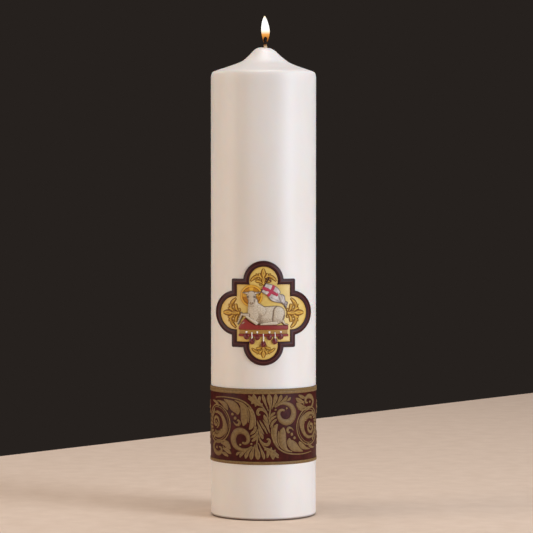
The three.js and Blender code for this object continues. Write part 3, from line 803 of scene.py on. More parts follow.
def leaf_fan():
    """Leaflets that open like a fan from the foot of the stem, and a lobed leaf beside them."""
    relief = Relief()
    leaflets = [
        [(-3.6, -11.5, 0.3), (-1.7, -16.0, 0.6), (-0.1, -20.4, 1.15), (0.5, -23.2, 0.4)],
        [(-4.6, -11.5, 0.3), (-4.9, -15.0, 0.9), (-4.3, -19.3, 1.9), (-4.0, -22.0, 1.5), (-4.1, -23.4, 0.4)],
        [(-5.8, -12.6, 0.3), (-7.4, -16.5, 0.8), (-8.5, -20.3, 1.5), (-8.7, -22.4, 1.1),
         (-8.8, -23.5, 0.35)],
        [(-7.4, -14.2, 0.3), (-10.4, -17.6, 0.7), (-12.3, -20.6, 1.35), (-12.8, -22.9, 0.5)],
        [(-9.4, -15.6, 0.3), (-13.4, -18.1, 0.6), (-16.3, -20.3, 1.1), (-17.2, -22.2, 0.4)],
        [(-13.0, -17.4, 0.3), (-16.6, -18.3, 0.45), (-19.0, -19.5, 0.95), (-19.8, -20.9, 0.5)],
        [(-2.4, -10.5, 0.3), (0.4, -14.4, 0.45), (4.4, -17.4, 1.8), (8.0, -19.4, 1.5), (11.0, -20.4, 0.4)],
        [(4.9, -17.8, 1.1), (5.4, -16.0, 0.8), (5.6, -14.6, 0.3)],
        [(3.6, -17.6, 1.2), (2.9, -20.4, 1.0), (2.7, -22.2, 0.4)],
        [(5.6, -18.6, 1.4), (6.6, -21.4, 1.4), (7.0, -23.4, 0.4)],
        [(7.6, -19.4, 1.2), (9.8, -21.4, 0.9), (10.7, -22.3, 0.4)],
        [(6.4, -18.4, 1.2), (7.9, -17.2, 0.8), (8.6, -16.5, 0.3)],
    ]
    for leaflet in leaflets:
        relief.stroke(leaflet, 0.46, "veined", across=11)
    relief.dome(1.2, -16.3, 0.75, 0.46)
    return relief


def pod_spray():
    """A stem that arches over the open ring and carries fat pods, beads and a curled leaf."""
    relief = Relief()
    stem = [(-42, 19.6, 0.3), (-31, 20.5, 0.42), (-20, 19.7, 0.5), (-13, 17.2, 0.55), (-8.6, 12.8, 0.6),
            (-6.3, 7.2, 0.65), (-5.9, 1.6, 0.55), (-6.9, -2.6, 0.3)]
    relief.stroke(stem, 0.4, across=7)
    twig = [(-16.6, 17.9, 0.25), (-12.3, 14.4, 0.45), (-10.4, 9.0, 0.55), (-10.8, 3.0, 0.3)]
    relief.stroke(twig, 0.36, across=7)
    pods = [
        [(-21.4, 18.5, 0.3), (-17.4, 17.1, 0.9), (-14.7, 13.6, 2.1), (-13.8, 8.0, 2.6), (-13.9, 3.6, 2.2),
         (-14.5, 0.6, 0.5)],
        [(-11.0, 14.2, 0.25), (-8.8, 10.4, 0.9), (-8.0, 5.0, 1.45), (-8.5, 0.6, 1.5), (-10.0, -1.9, 0.6)],
        [(-31.4, 18.7, 0.3), (-27.6, 17.3, 1.5), (-22.9, 14.7, 3.2), (-19.5, 11.4, 2.5), (-18.7, 8.5, 0.6)],
        [(-39.4, 17.5, 0.3), (-34.6, 16.7, 1.0), (-30.7, 14.9, 1.9), (-28.3, 12.6, 1.3), (-27.9, 11.2, 0.4)],
        [(-47.0, 17.0, 0.3), (-42.6, 16.6, 0.9), (-39.4, 15.2, 1.3), (-37.2, 13.4, 0.4)],
    ]
    for pod in pods:
        relief.stroke(pod, ORNAMENT, "leaf", across=15)
    relief.dome(-23.4, 8.5, 1.15, 0.46)
    relief.dome(-21.1, 5.8, 1.2, 0.46)
    relief.stroke([(-22.6, 3.2, 0.2), (-20.6, 1.3, 0.6), (-18.4, 1.1, 1.0), (-17.4, 2.8, 1.0),
                   (-18.5, 4.4, 0.65), (-19.6, 3.8, 0.35)], 0.46)
    return relief


def leaf_curl():
    """A curl of leaf under the large scroll, with four lobes on its outer side and two beads."""
    relief = Relief()
    relief.stroke([(-32.6, -10.8, 0.3), (-38.0, -11.8, 0.55), (-43.0, -13.2, 0.9), (-45.0, -16.4, 1.3),
                   (-42.4, -19.6, 1.6), (-37.6, -20.6, 1.6), (-34.2, -18.8, 1.2), (-34.6, -16.4, 0.8),
                   (-37.0, -16.0, 0.5)], ORNAMENT, "leaf", across=13)
    lobes = [
        [(-34.6, -12.9, 0.5), (-31.0, -13.3, 1.3), (-27.6, -14.3, 2.1), (-25.0, -16.4, 0.6)],
        [(-32.6, -16.6, 0.5), (-29.6, -17.3, 1.4), (-26.8, -18.5, 1.6), (-24.4, -20.0, 0.4)],
        [(-33.4, -19.8, 0.5), (-30.4, -20.5, 1.3), (-27.0, -21.9, 0.6)],
        [(-33.0, -11.3, 0.3), (-29.6, -11.3, 0.7), (-26.4, -12.2, 0.3)],
    ]
    for lobe in lobes:
        relief.stroke(lobe, 0.46, "veined", across=11)
    relief.dome(-32.2, -15.4, 0.7, 0.44)
    relief.dome(-40.0, -16.4, 1.1, 0.46)
    return relief


def centre_stem():
    """The S-shaped stem in the middle, feathered with long leaves and ending in a curl above and below."""
    half = [
        [(-4.3, -1.6, 0.4), (-4.2, -7.0, 0.6), (-4.7, -12.2, 0.5)],
        [(-3.4, -5.4, 0.3), (-2.3, -9.3, 0.6), (0.0, -12.1, 0.95), (2.8, -12.6, 1.15), (4.3, -10.5, 0.95),
         (3.5, -8.7, 0.75), (2.2, -9.1, 0.5)],
        [(-3.7, 0.4, 0.3), (-2.7, -3.4, 0.75), (-1.2, -6.5, 1.15), (-0.4, -8.7, 0.4)],
        [(-4.6, 4.4, 0.3), (-3.2, 1.0, 0.7), (-1.5, -2.4, 0.8), (0.3, -5.2, 0.3)],
        [(-5.0, 0.4, 0.3), (-6.0, -2.4, 0.85), (-8.0, -4.4, 0.95), (-9.3, -5.6, 0.3)],
        [(-4.6, -3.2, 0.3), (-5.8, -5.9, 0.85), (-8.2, -7.3, 0.65), (-9.2, -7.7, 0.3)],
        [(-4.4, -6.4, 0.3), (-6.3, -8.9, 1.0), (-8.3, -10.3, 0.45)],
    ]
    relief = Relief()
    for sign in (1, -1):
        for x_y_half in half:
            relief.stroke([(sign * x, sign * y, wide) for x, y, wide in x_y_half], 0.46, "veined", across=9)
    relief.stroke([(-2.7, 4.8, 0.3), (-0.8, 1.3, 0.75), (0.8, -1.3, 0.75), (2.7, -4.8, 0.3)], 0.46, "veined")
    return relief


def blossom():
    """Five veined petals round a bead."""
    relief = Relief()
    for at in range(90, 450, 72):
        root, tip = polar((0, 0), 1.2, at), polar((0, 0), 5.6, at)
        relief.leaf(root, tip, 3.6, 0.46, section="veined", fullest=0.6)
    relief.dome(0, 0, 1.5, 0.62)
    return relief


BLOSSOM_UP = 11   # how far the blossoms sit above and below the band's middle


def place_ornaments(material):
    """The pattern in front and again at the back, where each scroll and leaf also comes upside down."""
    placed = {}
    for kind in (volute, c_scroll, leaf_fan, pod_spray, leaf_curl):
        relief = kind()
        copies = [(across, turned) for across in (0, HALF_TURN) for turned in (0, 180)]
        for i, (across, turned) in enumerate(copies):
            placed[f"band_{kind.__name__}_{i + 1}"] = relief.moved(across, turned=turned)
    for i, across in enumerate((0, HALF_TURN)):
        placed[f"band_centre_stem_{i + 1}"] = centre_stem().moved(across)
    spots = [(side * HALF_TURN / 2, up) for side in (1, -1) for up in (1, -1)]
    for i, (across, up) in enumerate(spots):
        placed[f"band_blossom_{i + 1}"] = blossom().moved(across, up * BLOSSOM_UP, turned=90 - 90 * up)
    for node, relief in placed.items():
        points = round_wax(relief.points, BAND_MIDDLE, lambda x: x / RADIUS, BAND_SHEET)
        mesh_piece(f"{node}.gilt", points, relief.faces, material, [node], relief.tones)


# ---------------------------------------------------------------- medallion

BORDER_LOW, BORDER_HIGH = (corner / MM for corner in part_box("medallion_border"))
MEDALLION_MIDDLE = (BORDER_LOW.z + BORDER_HIGH.z) / 2
SQUARE = (22.4, 24.5)             # half sizes of the square behind the four lobes
END_LOBE = (23.1, 14.3)           # centre height and radius of the lobes above and below
SIDE_LOBE = (20.0, 13.85, 16.0)   # centre distance and half sizes of the lobes at the sides
BORDER_WIDTH = 3.6
FIELD_TOP = 0.35                  # how far the gold field stands out from the wax
FRAME_DROP = 0.35                 # how far the border, field and fleurons hang below the emblem's middle


def quatrefoil(inset):
    """The medallion's outline, drawn in by inset, and a little more above and below, where the wax doesn't
    turn away. Loops of any inset have the same number of points."""
    upright = inset * 1.16
    centre, radius = END_LOBE[0], END_LOBE[1] - upright
    half_x, half_y = SQUARE[0] - inset, SQUARE[1] - upright
    lobe_x, lobe_y = SIDE_LOBE[1] - inset, SIDE_LOBE[2] - upright
    meets = math.asin((centre - half_y) / radius)
    a = np.linspace(-math.pi / 2, meets, 26)
    end = np.column_stack([radius * np.cos(a), radius * np.sin(a) - centre])
    leaves = math.acos((half_x - SIDE_LOBE[0]) / lobe_x)
    b = np.linspace(-leaves, 0, 22)
    side = np.column_stack([SIDE_LOBE[0] + lobe_x * np.cos(b), lobe_y * np.sin(b)])
    rounding = max(0.1, 1.0 - inset / 4)
    c = np.linspace(-math.pi / 2, 0, 5)
    corner = np.column_stack([half_x + rounding * (np.cos(c) - 1), -half_y + rounding * (np.sin(c) + 1)])
    low_right = np.vstack([end, corner, side])
    top_right = low_right[:-1][::-1] * [1, -1]
    right = np.vstack([low_right, top_right])
    left = right[1:-1][::-1] * [-1, 1]
    return np.vstack([right, left])


def on_front(name, relief, start, material, node, drop=0.0):
    """A piece of the medallion, which keeps its drawn width when it is seen from the front."""
    points = round_wax(relief.points, MEDALLION_MIDDLE - drop, lambda x: np.arcsin(x / RADIUS), start)
    mesh_piece(name, points, relief.faces, material, [node], relief.tones)


def medallion_border(material):
    """The dark frame, rounded at its edges and with a fine raised line along its middle."""
    section = [  # inset, height and tone
        (0, -0.2, 0), (0, 0.45, 0), (0.2, 0.72, 0.4), (0.7, 0.84, 0.5), (1.6, 0.86, 0.5), (1.75, 0.98, 1),
        (2.1, 0.98, 1), (2.25, 0.86, 0.5), (3.0, 0.84, 0.5), (3.4, 0.7, 0.3), (BORDER_WIDTH, 0.4, 0),
        (BORDER_WIDTH, -0.2, 0),
    ]
    loops = [quatrefoil(inset) for inset, _, _ in section]
    relief = Relief()
    rows = [[(*point, out) for point, (_, out, _) in zip(across, section)] for across in zip(*loops)]
    tones = [[tone for _, _, tone in section]] * len(rows)
    relief.grid_shell(rows, tones, closed=True)
    on_front("quatrefoil_border", relief, 0, material, "medallion_border", FRAME_DROP)


def medallion_field(material):
    """The gold plate inside the border, with painted shade beside the border."""
    def gilded_with_border_shade(flat, depth):
        # painted shade: the gold darkens within 1.8 mm of the border, where the border's shade falls
        return np.full(len(flat), FIELD_TOP), 0.2 + 0.8 * smoothstep(0.4, 1.8, depth)

    relief = Relief()
    relief.sheet(quatrefoil(BORDER_WIDTH - 0.4), 0.8, gilded_with_border_shade, sunk=-0.2)
    on_front("gold_field", relief, 0, material, "medallion_field", FRAME_DROP)


LILY_OUTLINE = 0.5   # width of the brown line round each part of a fleuron


def fleuron():
    """A lily: a pointed bud over a middle leaf, a long curved leaf and two short ones on each side, and
    small curls between them. Every part lies on a wider brown one, which shows as its outline."""
    arm = [(1.5, 5.0, 0.2), (3.6, 5.9, 0.6), (5.7, 5.4, 0.95), (7.5, 4.0, 0.8), (9.1, 2.2, 0.15)]
    curls = [(2.3, 3.4, 0.95, 1.1), (4.6, 3.8, 0.75, -1.0), (1.7, 0.0, 1.1, -0.9), (4.7, 7.1, 0.6, 1.0)]
    relief = Relief()
    for grow, height, shade in ((LILY_OUTLINE, 0.2, 0.12), (0.0, 0.44, 1.0)):
        look = {"grow": grow, "shade": shade}
        relief.leaf((0, 5.2), (0, 11.6), 3.0, height, across=13, count=19, fullest=0.4, **look)
        relief.leaf((0, 0.6), (0, 6.2), 2.3, height, across=13, count=17, **look)
        for side in (-1, 1):
            look.update(across=11, count=15)
            relief.leaf((1.1 * side, 4.2), (2.9 * side, 8.3), 1.4, height, bend=-0.5 * side, **look)
            relief.stroke([(x * side, y, half + grow) for x, y, half in arm], height, "leaf", across=13,
                          fuller=1.0, shade=shade)
            relief.leaf((0.9 * side, 1.0), (5.8 * side, 2.4), 1.7, height, bend=0.5 * side, fullest=0.6,
                        **look)
            for x, y, radius, turns in curls:
                curl = spiral((x * side, y), radius, 0.25, 90 - 60 * side, turns * side, 20)
                relief.ribbon(curl, 0.17 + grow * 0.6, height, across=5, shade=shade)
        relief.dome(0, 0.5, 0.9 + grow, height + 0.08, tone=shade)
    vein = {"section": "round", "across": 5, "shade": 0.2}
    for side in (-1, 1):
        relief.leaf((3.2 * side, 5.8), (7.9 * side, 3.6), 0.3, 0.56, bend=0.6 * side, **vein)
    relief.leaf((0, 1.6), (0, 5.4), 0.4, 0.56, **vein)
    relief.leaf((0, 6.6), (0, 9.8), 0.35, 0.56, **vein)
    return relief


FLEURONS = {  # place of each one's foot, degrees turned, stretch across and along
    "top": (0, 20.6, 0, (1.0, 0.98)),
    "left": (-17.0, 0, 90, (1.16, 1.0)),
    "right": (17.0, 0, -90, (1.16, 1.0)),
    "bottom": (0, -23.2, 180, (0.9, 0.76)),
}


def place_fleurons(material):
    for side, (x, y, turned, stretch) in FLEURONS.items():
        lily = fleuron().moved(x, y, turned, stretch)
        node = f"filigree_{side}"
        on_front(f"fleuron_{side}", lily, FIELD_TOP, material, node, FRAME_DROP)


# Each limb is two ends, (x, y, radius) twice, its height, and its group. Groups meet in a dark line.
LAMB_LIMBS = [
    ((-2.2, -2.0, 6.3), (8.6, -1.7, 6.7), 1.25, "body"),
    ((10.1, -0.4, 5.2), (9.4, -3.8, 4.7), 1.55, "haunch"),
    ((-7.3, 8.0, 3.5), (-6.4, -1.8, 4.9), 1.5, "neck"),
    ((-6.2, 4.4, 3.9), (-0.8, 0.4, 4.3), 1.42, "neck"),
    ((-8.4, 12.2, 3.55), (-8.1, 7.9, 2.5), 2.0, "head"),
    ((-10.9, 13.8, 1.15), (-14.2, 14.2, 0.5), 1.6, "left ear"),
    ((-5.6, 13.9, 1.15), (-2.3, 14.5, 0.5), 1.6, "right ear"),
    ((-9.6, -1.8, 1.7), (-15.0, -1.3, 0.95), 1.3, "raised leg"),
    ((-15.1, -1.4, 1.0), (-17.8, -8.1, 0.7), 1.2, "raised leg"),
    ((-15.0, -1.2, 0.8), (-15.6, 0.3, 0.35), 1.2, "raised leg"),
    ((-11.6, -2.7, 1.15), (-4.9, -7.5, 1.5), 1.7, "folded leg"),
    ((-14.4, -7.7, 0.85), (-13.3, -6.9, 0.6), 1.0, "hoof"),
    ((8.6, -7.4, 1.6), (-1.8, -8.4, 0.8), 1.75, "hind leg"),
    ((13.6, -6.3, 1.3), (14.5, -8.1, 0.8), 1.4, "tail"),
    ((14.5, -8.1, 0.8), (17.0, -8.7, 0.6), 1.4, "tail"),
]
WOOLLY = ("body", "haunch", "neck")
LAMB_STEP = 0.24


def limb_depth(points, first, second):
    """How far in points are from the edge of a tapered limb, and its radius beside them."""
    a, b = np.array(first[:2]), np.array(second[:2])
    along = b - a
    t = np.clip((points - a) @ along / (along @ along), 0, 1)
    radius = first[2] + (second[2] - first[2]) * t
    return radius - np.linalg.norm(points - a - t[:, None] * along, axis=1), radius


def lamb_inside(points):
    return np.max([limb_depth(points, a, b)[0] for a, b, _, _ in LAMB_LIMBS], axis=0)


def lamb_surface(points):
    """Height and tone of the lamb at flat points inside it. The tone carries painted shade in the creases
    between parts, along the lower body, on the chest and at the far flank.
    """
    groups = {}
    for first, second, top, group in LAMB_LIMBS:
        depth, radius = limb_depth(points, first, second)
        share = np.clip(1 - depth / radius, 0, 1)
        height = np.where(depth > 0, top * np.sqrt(1 - share**2.4), 0)
        groups[group] = np.maximum(groups.get(group, 0), height)
    stack = np.array(list(groups.values()))
    order = np.sort(stack, axis=0)
    height = order[-1]
    gap = order[-1] - order[-2]
    ranked = np.array(list(groups))[stack.argsort(0)]
    winner = ranked[-1]
    woolly = np.isin(winner, WOOLLY)
    within_coat = woolly & np.isin(ranked[-2], WOOLLY) & (winner != "haunch") & (ranked[-2] != "haunch")
    # painted shade in the creases where two parts meet, which are also sunk a little, fainter inside the
    # coat
    crease = np.exp(-((gap / 0.13) ** 2)) * (order[-2] > 0.3) * np.where(within_coat, 0.25, 1.0)
    large = [noise.noise(Vector((x * 1.1, y * 1.5, 0))) for x, y in points]
    small = [noise.noise(Vector((x * 2.6, y * 3.4, 7))) for x, y in points]
    curls = np.array(large) + 0.7 * np.array(small)
    height = height + 0.14 * curls * woolly - 0.16 * crease
    edge = smoothstep(0.15, 0.8, lamb_inside(points))
    x, y = points.T
    # painted shade along the lower body, on the chest and at the far flank
    low = smoothstep(-2, -8, y) * np.isin(winner, ["body", "haunch"])
    chest_shade = np.exp(-(((x + 2.2) / 1.6) ** 2) - ((y + 3.0) / 5.0) ** 2) * (winner == "body")
    flank_shade = smoothstep(12.5, 15.2, x) * woolly
    shade = 0.8 + 0.28 * curls * woolly - 0.3 * low - 0.32 * chest_shade - 0.24 * flank_shade
    shade = shade - 0.08 * (winner == "head")
    tone = shade * (1 - 0.85 * crease) * (0.04 + 0.96 * edge)
    return np.maximum(height, 0.25), tone


LAMB_MARKS = [  # dark painted marks: x, y, half width, half height, depth of tone
    (-10.5, 11.3, 0.9, 0.7, 0.7), (-6.2, 11.4, 0.9, 0.7, 0.7),        # hollows of the eyes
    (-10.5, 12.5, 1.1, 0.28, 0.45), (-6.1, 12.6, 1.1, 0.28, 0.45),    # brows
    # the cheek marks and the ear-hollow marks are painted shade
    (-10.3, 9.0, 0.7, 1.7, 0.35), (-6.2, 9.0, 0.7, 1.7, 0.35),        # cheeks
    (-8.8, 7.1, 0.4, 0.5, 0.9), (-7.5, 7.1, 0.4, 0.5, 0.9),           # nostrils
    (-8.15, 6.2, 1.1, 0.24, 0.85),                                    # mouth
    (-8.3, 4.6, 2.4, 0.7, 0.3),                                       # shade under the chin
    (-12.9, 14.1, 0.9, 0.28, 0.5), (-3.8, 14.3, 0.9, 0.28, 0.5),      # hollows of the ears
    (-17.9, -8.4, 0.8, 0.7, 0.7), (-14.2, -7.7, 0.5, 0.5, 0.35),      # hooves
    (17.2, -8.8, 0.5, 0.6, 0.6),                                      # tip of the tail
]
EYES = [(-10.5, 11.3), (-6.2, 11.3)]


def lamb(material):
    """A lying lamb, modelled as a height field on a fine grid that ends exactly at its outline."""
    xs = np.arange(-19.5, 19.5, LAMB_STEP)
    ys = np.arange(-10.5, 17.5, LAMB_STEP)
    grid = np.array([(x, y) for y in ys for x in xs])
    inside = lamb_inside(grid).reshape(len(ys), len(xs))
    cell = (inside[:-1, :-1] + inside[1:, :-1] + inside[:-1, 1:] + inside[1:, 1:]) / 4 > 0
    corners = {}
    faces = []
    for j, i in zip(*np.nonzero(cell)):
        quad = [(j, i), (j, i + 1), (j + 1, i + 1), (j + 1, i)]
        faces.append([corners.setdefault(c, len(corners)) for c in quad])
    flat = np.array([(xs[i], ys[j]) for j, i in corners])
    edges = {(f[k], f[(k + 1) % 4]) for f in faces for k in range(4)}
    rim = [(a, b) for a, b in edges if (b, a) not in edges]
    on_rim = sorted({v for edge in rim for v in edge})
    for _ in range(4):
        at = flat[on_rim]
        depth = lamb_inside(at)
        slope = [(lamb_inside(at + step) - depth) / 0.02 for step in ([0.02, 0], [0, 0.02])]
        flat[on_rim] = at - np.clip(depth, -0.3, 0.3)[:, None] * np.column_stack(slope)
    height, tone = lamb_surface(flat)
    for x, y, wide, tall, strength in LAMB_MARKS:
        inked = np.exp(-(((flat[:, 0] - x) / wide) ** 2 + ((flat[:, 1] - y) / tall) ** 2) ** 2)
        tone = tone * (1 - strength * inked)
        height = height - 0.12 * strength * inked
    height[on_rim] = 0.2
    n = len(flat)
    relief = Relief()
    walls = [(b, a, n + a, n + b) for a, b in rim]
    under = [[n + i for i in reversed(f)] for f in faces]
    points = np.vstack([np.column_stack([flat, height]), np.column_stack([flat, np.full(n, SUNK)])])
    relief.add(points, faces + walls + under, np.concatenate([tone, np.zeros(n)]))
    for x, y in EYES:
        relief.dome(x, y, 0.52, 0.3, tone=0, base=1.55, sunk=1.0)
    on_front("lying_lamb", relief, FIELD_TOP, material, "lamb")


HALO = np.array([-8.3, 12.0])
HALO_RADIUS = 8.0
HALO_RAYS = (12, 92, 172)   # degrees from the right


def halo(material):
    """A disc behind the head with a raised rim, a dark line inside it and three widening rays."""
    def rayed(flat, depth):
        offset = flat - HALO
        turn = np.degrees(np.arctan2(offset[:, 1], offset[:, 0]))
        reach = np.hypot(*offset.T)
        rays = np.zeros(len(flat))
        for middle in HALO_RAYS:
            away = np.abs((turn - middle + 180) % 360 - 180)
            rays = np.maximum(rays, smoothstep(17, 13, away))
        rim = smoothstep(1.7, 1.4, depth)
        lines = np.exp(-((depth - 1.7) / 0.26) ** 2) + smoothstep(0.6, 0.1, depth)
        fine = 0.5 + 0.5 * np.cos(np.radians(turn) * 30)
        raised = np.maximum(rim, rays)
        tone = 0.55 + 0.45 * raised - 0.25 * fine * (1 - raised) - 0.75 * np.clip(lines, 0, 1)
        return 0.2 + 0.16 * raised * (reach > 3), tone

    relief = Relief()
    relief.sheet(HALO + HALO_RADIUS * circle(72), 0.36, rayed, sunk=-0.1)
    on_front("rayed_halo", relief, FIELD_TOP, material, "halo")


CLOTH_START = FIELD_TOP + 0.3
CROSS_START = FIELD_TOP + 0.72


def banner_staff(material):
    """A thin pole with a small cross on top."""
    staff = Relief()
    staff.ribbon(spline([(-3.2, 12.4), (0.4, 18.7), (3.5, 24.4)], 24), 0.42, 0.75, across=7)
    staff.ribbon(spline([(1.9, 24.3), (3.4, 23.6), (4.9, 22.8)], 8), 0.3, 0.85, across=7)
    for x, y in ((3.75, 24.9), (1.8, 24.4), (5.0, 22.7)):
        staff.dome(x, y, 0.62, 0.95)
    staff.dome(2.7, 22.6, 0.75, 0.95)
    on_front("banner_pole", staff, FIELD_TOP, material, "banner_staff")


def banner_cloth(material):
    """A cloth that hangs from the staff, with a sunk fold and a tail whose pleats are only painted shade.
    Painted shade also lies along the fold and under the upper cloth, and the ripples are painted lighter
    where they rise.
    """
    hem = spline([(1.6, 20.9), (4.6, 20.6), (7.6, 19.4), (10.4, 17.6)], 14)
    fly = spline([(10.4, 17.6), (11.9, 14.8), (11.4, 13.4)], 8)[1:]
    tail = spline([(11.4, 13.4), (13.6, 13.0), (15.0, 11.4), (15.3, 8.4), (17.0, 7.4), (16.4, 4.6),
                   (15.8, 2.4)], 30)[1:]
    back = spline([(15.8, 2.4), (14.6, 5.0), (12.4, 6.6), (9.2, 7.3), (6.2, 8.2), (4.2, 9.9)], 26)[1:]
    foot = spline([(4.2, 9.9), (3.0, 11.9), (0.6, 13.5), (-1.5, 14.8)], 12)[1:]
    hoist = spline([(-1.5, 14.8), (0.0, 17.9), (1.6, 20.9)], 8)[1:-1]

    def rippled(flat, depth):
        x, y = flat.T
        # painted shade along the fold, under the upper cloth and in stripes on the tail, and painted light
        # on the raised ripples
        fold = np.exp(-((x - 11.2 + 0.35 * (y - 10)) / 0.5) ** 2) * (y < 14.5)
        under = np.exp(-((y - 9.0 + 0.5 * (x - 9)) / 0.45) ** 2) * (x > 5)
        wave = 0.16 * np.sin((0.86 * x - 0.51 * y) * 1.1)
        pleat_shade = (0.5 + 0.5 * np.cos(5.2 * (x + 0.35 * y))) * smoothstep(11.5, 13.5, x)
        height = 0.45 + wave * smoothstep(0, 1.5, depth) - 0.2 * fold
        tone = (0.9 + 1.1 * wave) * (0.05 + 0.95 * smoothstep(0.15, 0.8, depth))
        return np.maximum(height, 0.15), tone - 0.6 * fold - 0.45 * under - 0.5 * pleat_shade

    flag = Relief()
    flag.sheet(np.vstack([hem, fly, tail, back, foot, hoist])[::-1], 0.3, rippled, sunk=0.0)
    on_front("banner_flag", flag, CLOTH_START, material, "banner_cloth")


def banner_cross(material):
    """Two bars of a red cross, which lie across each other on the cloth."""
    cross = Relief()
    for bar in ([(-0.6, 17.9), (4.6, 15.6), (9.9, 12.3)], [(7.4, 19.6), (5.5, 15.4), (3.0, 11.9)]):
        cross.ribbon(spline(bar, 16), 1.2, 0.32, section="flat", sunk=0)
    on_front("banner_red_cross", cross, CROSS_START, material, "banner_cross")


BOOK_LEFT, BOOK_RIGHT = -17.2, 17.3
COVER_TOP, PAGES_TOP, PAGES_BOTTOM, BOOK_BOTTOM = -9.3, -12.2, -15.2, -17.0
PAGE = 0.8   # distance between the lines that show the page edges


def subdivided(corners, spacing):
    """The closed outline through corners, with a point about every spacing."""
    outline = []
    for a, b in zip(corners, corners[1:] + corners[:1]):
        a, b = np.array(a, float), np.array(b, float)
        steps = max(1, round(np.linalg.norm(b - a) / spacing))
        outline.extend(a + (b - a) * i / steps for i in range(steps))
    return np.array(outline)


def upright_box(left, right, low, high):
    """Corners of a rectangle, anticlockwise from its top left."""
    return [(left, high), (left, low), (right, low), (right, high)]


def book_covers(material):
    """The two covers of a closed book that lies flat. The upper one has a raised corner at its left."""
    def covered(flat, depth):
        edge = smoothstep(0.05, 0.45, depth)
        return 0.75 + 0.2 * edge, 0.25 + 0.75 * edge

    upper = Relief()
    folded = [(BOOK_LEFT, COVER_TOP - 0.6), (BOOK_LEFT, PAGES_TOP), (BOOK_RIGHT, PAGES_TOP),
              (BOOK_RIGHT, COVER_TOP - 0.2), (BOOK_RIGHT - 0.6, COVER_TOP + 0.3), (-5.6, COVER_TOP + 0.6),
              (-9.6, -6.4), (-12.7, -3.6), (-14.6, -6.2), (BOOK_LEFT + 0.6, COVER_TOP)]
    upper.sheet(subdivided(folded, 0.8), 0.7, covered)
    on_front("cover_front", upper, FIELD_TOP - 0.1, material, "book_cover_upper")
    lower = Relief()
    slab = upright_box(BOOK_LEFT, BOOK_RIGHT, BOOK_BOTTOM, PAGES_BOTTOM)
    lower.sheet(subdivided(slab, 0.8), 0.6, covered)
    on_front("cover_back", lower, FIELD_TOP, material, "book_cover_lower")


def book_pages(material):
    """The page block, with a fine groove for every few pages."""
    def lined(flat, depth):
        line = np.cos((flat[:, 1] - PAGES_TOP) * 2 * math.pi / PAGE)
        return 0.55 + 0.05 * line, 0.6 + 0.4 * line - 0.5 * smoothstep(0.3, 0, depth)

    pages = Relief()
    block = upright_box(BOOK_LEFT + 0.5, BOOK_RIGHT - 0.5, PAGES_BOTTOM, PAGES_TOP)
    pages.sheet(subdivided(block, 0.4), 0.2, lined)
    on_front("page_block", pages, FIELD_TOP, material, "book_pages")


SEALS = [  # centre of each, from the left
    (-11.9, -16.9), (-8.0, -20.3), (-4.3, -17.3), (0.0, -22.4), (4.2, -17.3), (8.0, -20.3), (12.1, -16.9),
]
SEAL_RADIUS = 1.95
SEAL_STRETCH = np.array([1, 1.25])
MIDDLE_SEAL = 3


def wax_seal(x, y):
    """An oval seal with a raised rim and a small raised cross."""
    seal = Relief()
    seal.dome(x, y, SEAL_RADIUS, 1.2, tone=0.55, sides=28, stretch=SEAL_STRETCH[1], sunk=0)
    inner = SEAL_RADIUS - 0.35
    rim = spiral((0, 0), inner, inner, 0, ALMOST_ROUND, 30) * SEAL_STRETCH + [x, y]
    seal.ribbon(rim, 0.24, 0.5, base=0.75, across=5, sunk=0.6)
    for a, b in ((0.7, 0), (0, 0.9)):
        bar = [(x - a, y - b), (x, y), (x + a, y + b)]
        seal.ribbon(bar, 0.16, 0.28, base=1.1, across=5, sunk=0.9)
    return seal


def seal_ribbon(x, y, top):
    """A white ribbon from the book's edge to a seal that hangs low."""
    cord = Relief()
    middle = (x + 0.12, (top + y) / 2)
    cord.ribbon(spline([(x - 0.05, top), middle, (x, y + 1.6)], 14), 0.42, 1.25, across=7)
    return cord


def seal_bead(x, y):
    """A white bead over a seal that hangs high, with a short string."""
    cord = Relief()
    cord.dome(x, PAGES_TOP - 1.6, 0.8, 1.15, sides=16)
    cord.ribbon([(x, PAGES_TOP - 2.2), (x, y + 1.8)], 0.2, 1.05, across=5)
    return cord


def seals(wax, ribbon):
    """Seven wax seals. Every other one hangs lower, on a ribbon, and the rest have a bead over them."""
    for i, (x, y) in enumerate(SEALS):
        on_front(f"wax_seal_{i + 1}", wax_seal(x, y), FIELD_TOP, wax, f"seal_{i + 1}")
        top = PAGES_BOTTOM + (0.2 if i == MIDDLE_SEAL else 1.3)
        cord = seal_ribbon(x, y, top) if i % 2 else seal_bead(x, y)
        on_front(f"seal_ribbon_{i + 1}", cord, FIELD_TOP, ribbon, f"seal_cord_{i + 1}")


# ---------------------------------------------------------------- stage, light and camera

CAMERA_DISTANCE = 1.85
CAMERA_HEIGHT = 0.2572
CAMERA_PITCH = 2.371      # degrees below level
LENS = 172
CANDLE_LEFT = 0.0022      # how far left of the picture's middle the candle stands
ROOM = srgb(38, 33, 30)
TABLE_THICKNESS = 0.03
TABLE_EDGE = 0.411        # how far behind the candle the table's slanted far edge passes
TABLE_EDGE_TURN = 49      # degrees between that edge and the camera's left to right
TABLE_REACH = 1.1         # how far the table reaches to the other sides
LIT_HEIGHT = 0.17         # height on the candle that the lights point at
# Name, degrees right of the camera's side, distance, height, width and height, and red, green, blue watts.
SOFT_LIGHTS = [
    ("key_right", 57, 2.0, 0.60, (0.8, 1.5), (31.4, 35.9, 43.2)),
    ("fill_left", -75, 2.0, 0.50, (1.0, 1.5), (22.8, 21.6, 20.8)),
    ("top_soft", 0, 0.0, 2.40, (1.2, 1.2), (32.0, 31.2, 32.8)),
]


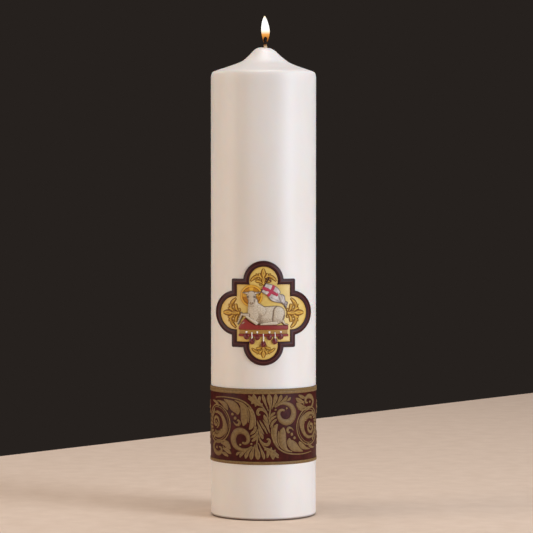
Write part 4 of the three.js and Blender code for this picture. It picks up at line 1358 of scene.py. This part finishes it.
def build_table():
    """A pale table whose far edge runs slantwise behind the candle."""
    edge_turn = math.radians(TABLE_EDGE_TURN)
    along = Vector((math.cos(edge_turn), math.sin(edge_turn), 0)) * TABLE_REACH
    inward = Vector((along.y, -along.x, 0))
    far = -TABLE_EDGE / TABLE_REACH * inward
    corners = [far - along, inward - along, inward + along, far + along]
    mesh = bpy.data.meshes.new("table")
    mesh.from_pydata([tuple(c) for c in corners] + [(c.x, c.y, -TABLE_THICKNESS) for c in corners], [],
                     [(0, 1, 2, 3), (7, 6, 5, 4), (0, 4, 5, 1), (1, 5, 6, 2), (2, 6, 7, 3), (3, 7, 4, 0)])
    mesh.materials.append(table_top())
    new_object("table", mesh)


def build_room():
    """A dark room round the table, as a plain background."""
    world = bpy.data.worlds.new("room")
    world.use_nodes = True
    background = world.node_tree.nodes["Background"]
    background.inputs["Color"].default_value = ROOM
    background.inputs["Strength"].default_value = 1.0
    bpy.context.scene.world = world


def build_lights():
    """Wide soft lights, each turned to the candle."""
    for name, turn, distance, height, size, watts in SOFT_LIGHTS:
        data = bpy.data.lights.new(name, "AREA")
        data.shape = "RECTANGLE"
        data.size, data.size_y = size
        data.energy = max(watts)
        data.color = [share / max(watts) for share in watts]
        light = new_object(name, data)
        angle = math.radians(turn)
        light.location = (distance * math.sin(angle), -distance * math.cos(angle), height)
        toward = Vector((0, 0, LIT_HEIGHT)) - light.location
        light.rotation_euler = toward.to_track_quat("-Z", "Y").to_euler()


def build_camera():
    """A long lens in front of the candle, level with its upper part and tilted a little down."""
    data = bpy.data.cameras.new("camera")
    data.lens = LENS
    camera = new_object("camera", data)
    camera.location = (CANDLE_LEFT, -CAMERA_DISTANCE, CAMERA_HEIGHT)
    camera.rotation_euler = (math.radians(90 - CAMERA_PITCH), 0, 0)
    bpy.context.scene.camera = camera


# ---------------------------------------------------------------- assembly

bpy.context.scene.view_settings.view_transform = "Standard"
build_camera()
build_table()
build_room()
build_lights()

wax_body(ivory_wax())
sustainer(tin_plate())
wick(charred_wick())
flame(flame_light())

SCROLL_GOLD = scroll_gold()
band_strips(maroon_wax(), SCROLL_GOLD)
place_ornaments(SCROLL_GOLD)

BORDER_MAROON = border_maroon()
medallion_border(BORDER_MAROON)
medallion_field(field_gold())
place_fleurons(filigree_gold())
halo(halo_gold())
lamb(lamb_white())
banner_staff(BORDER_MAROON)
banner_cloth(banner_white())
banner_cross(cross_red())
book_covers(cover_red())
book_pages(page_gold())
seals(seal_maroon(), ribbon_white())
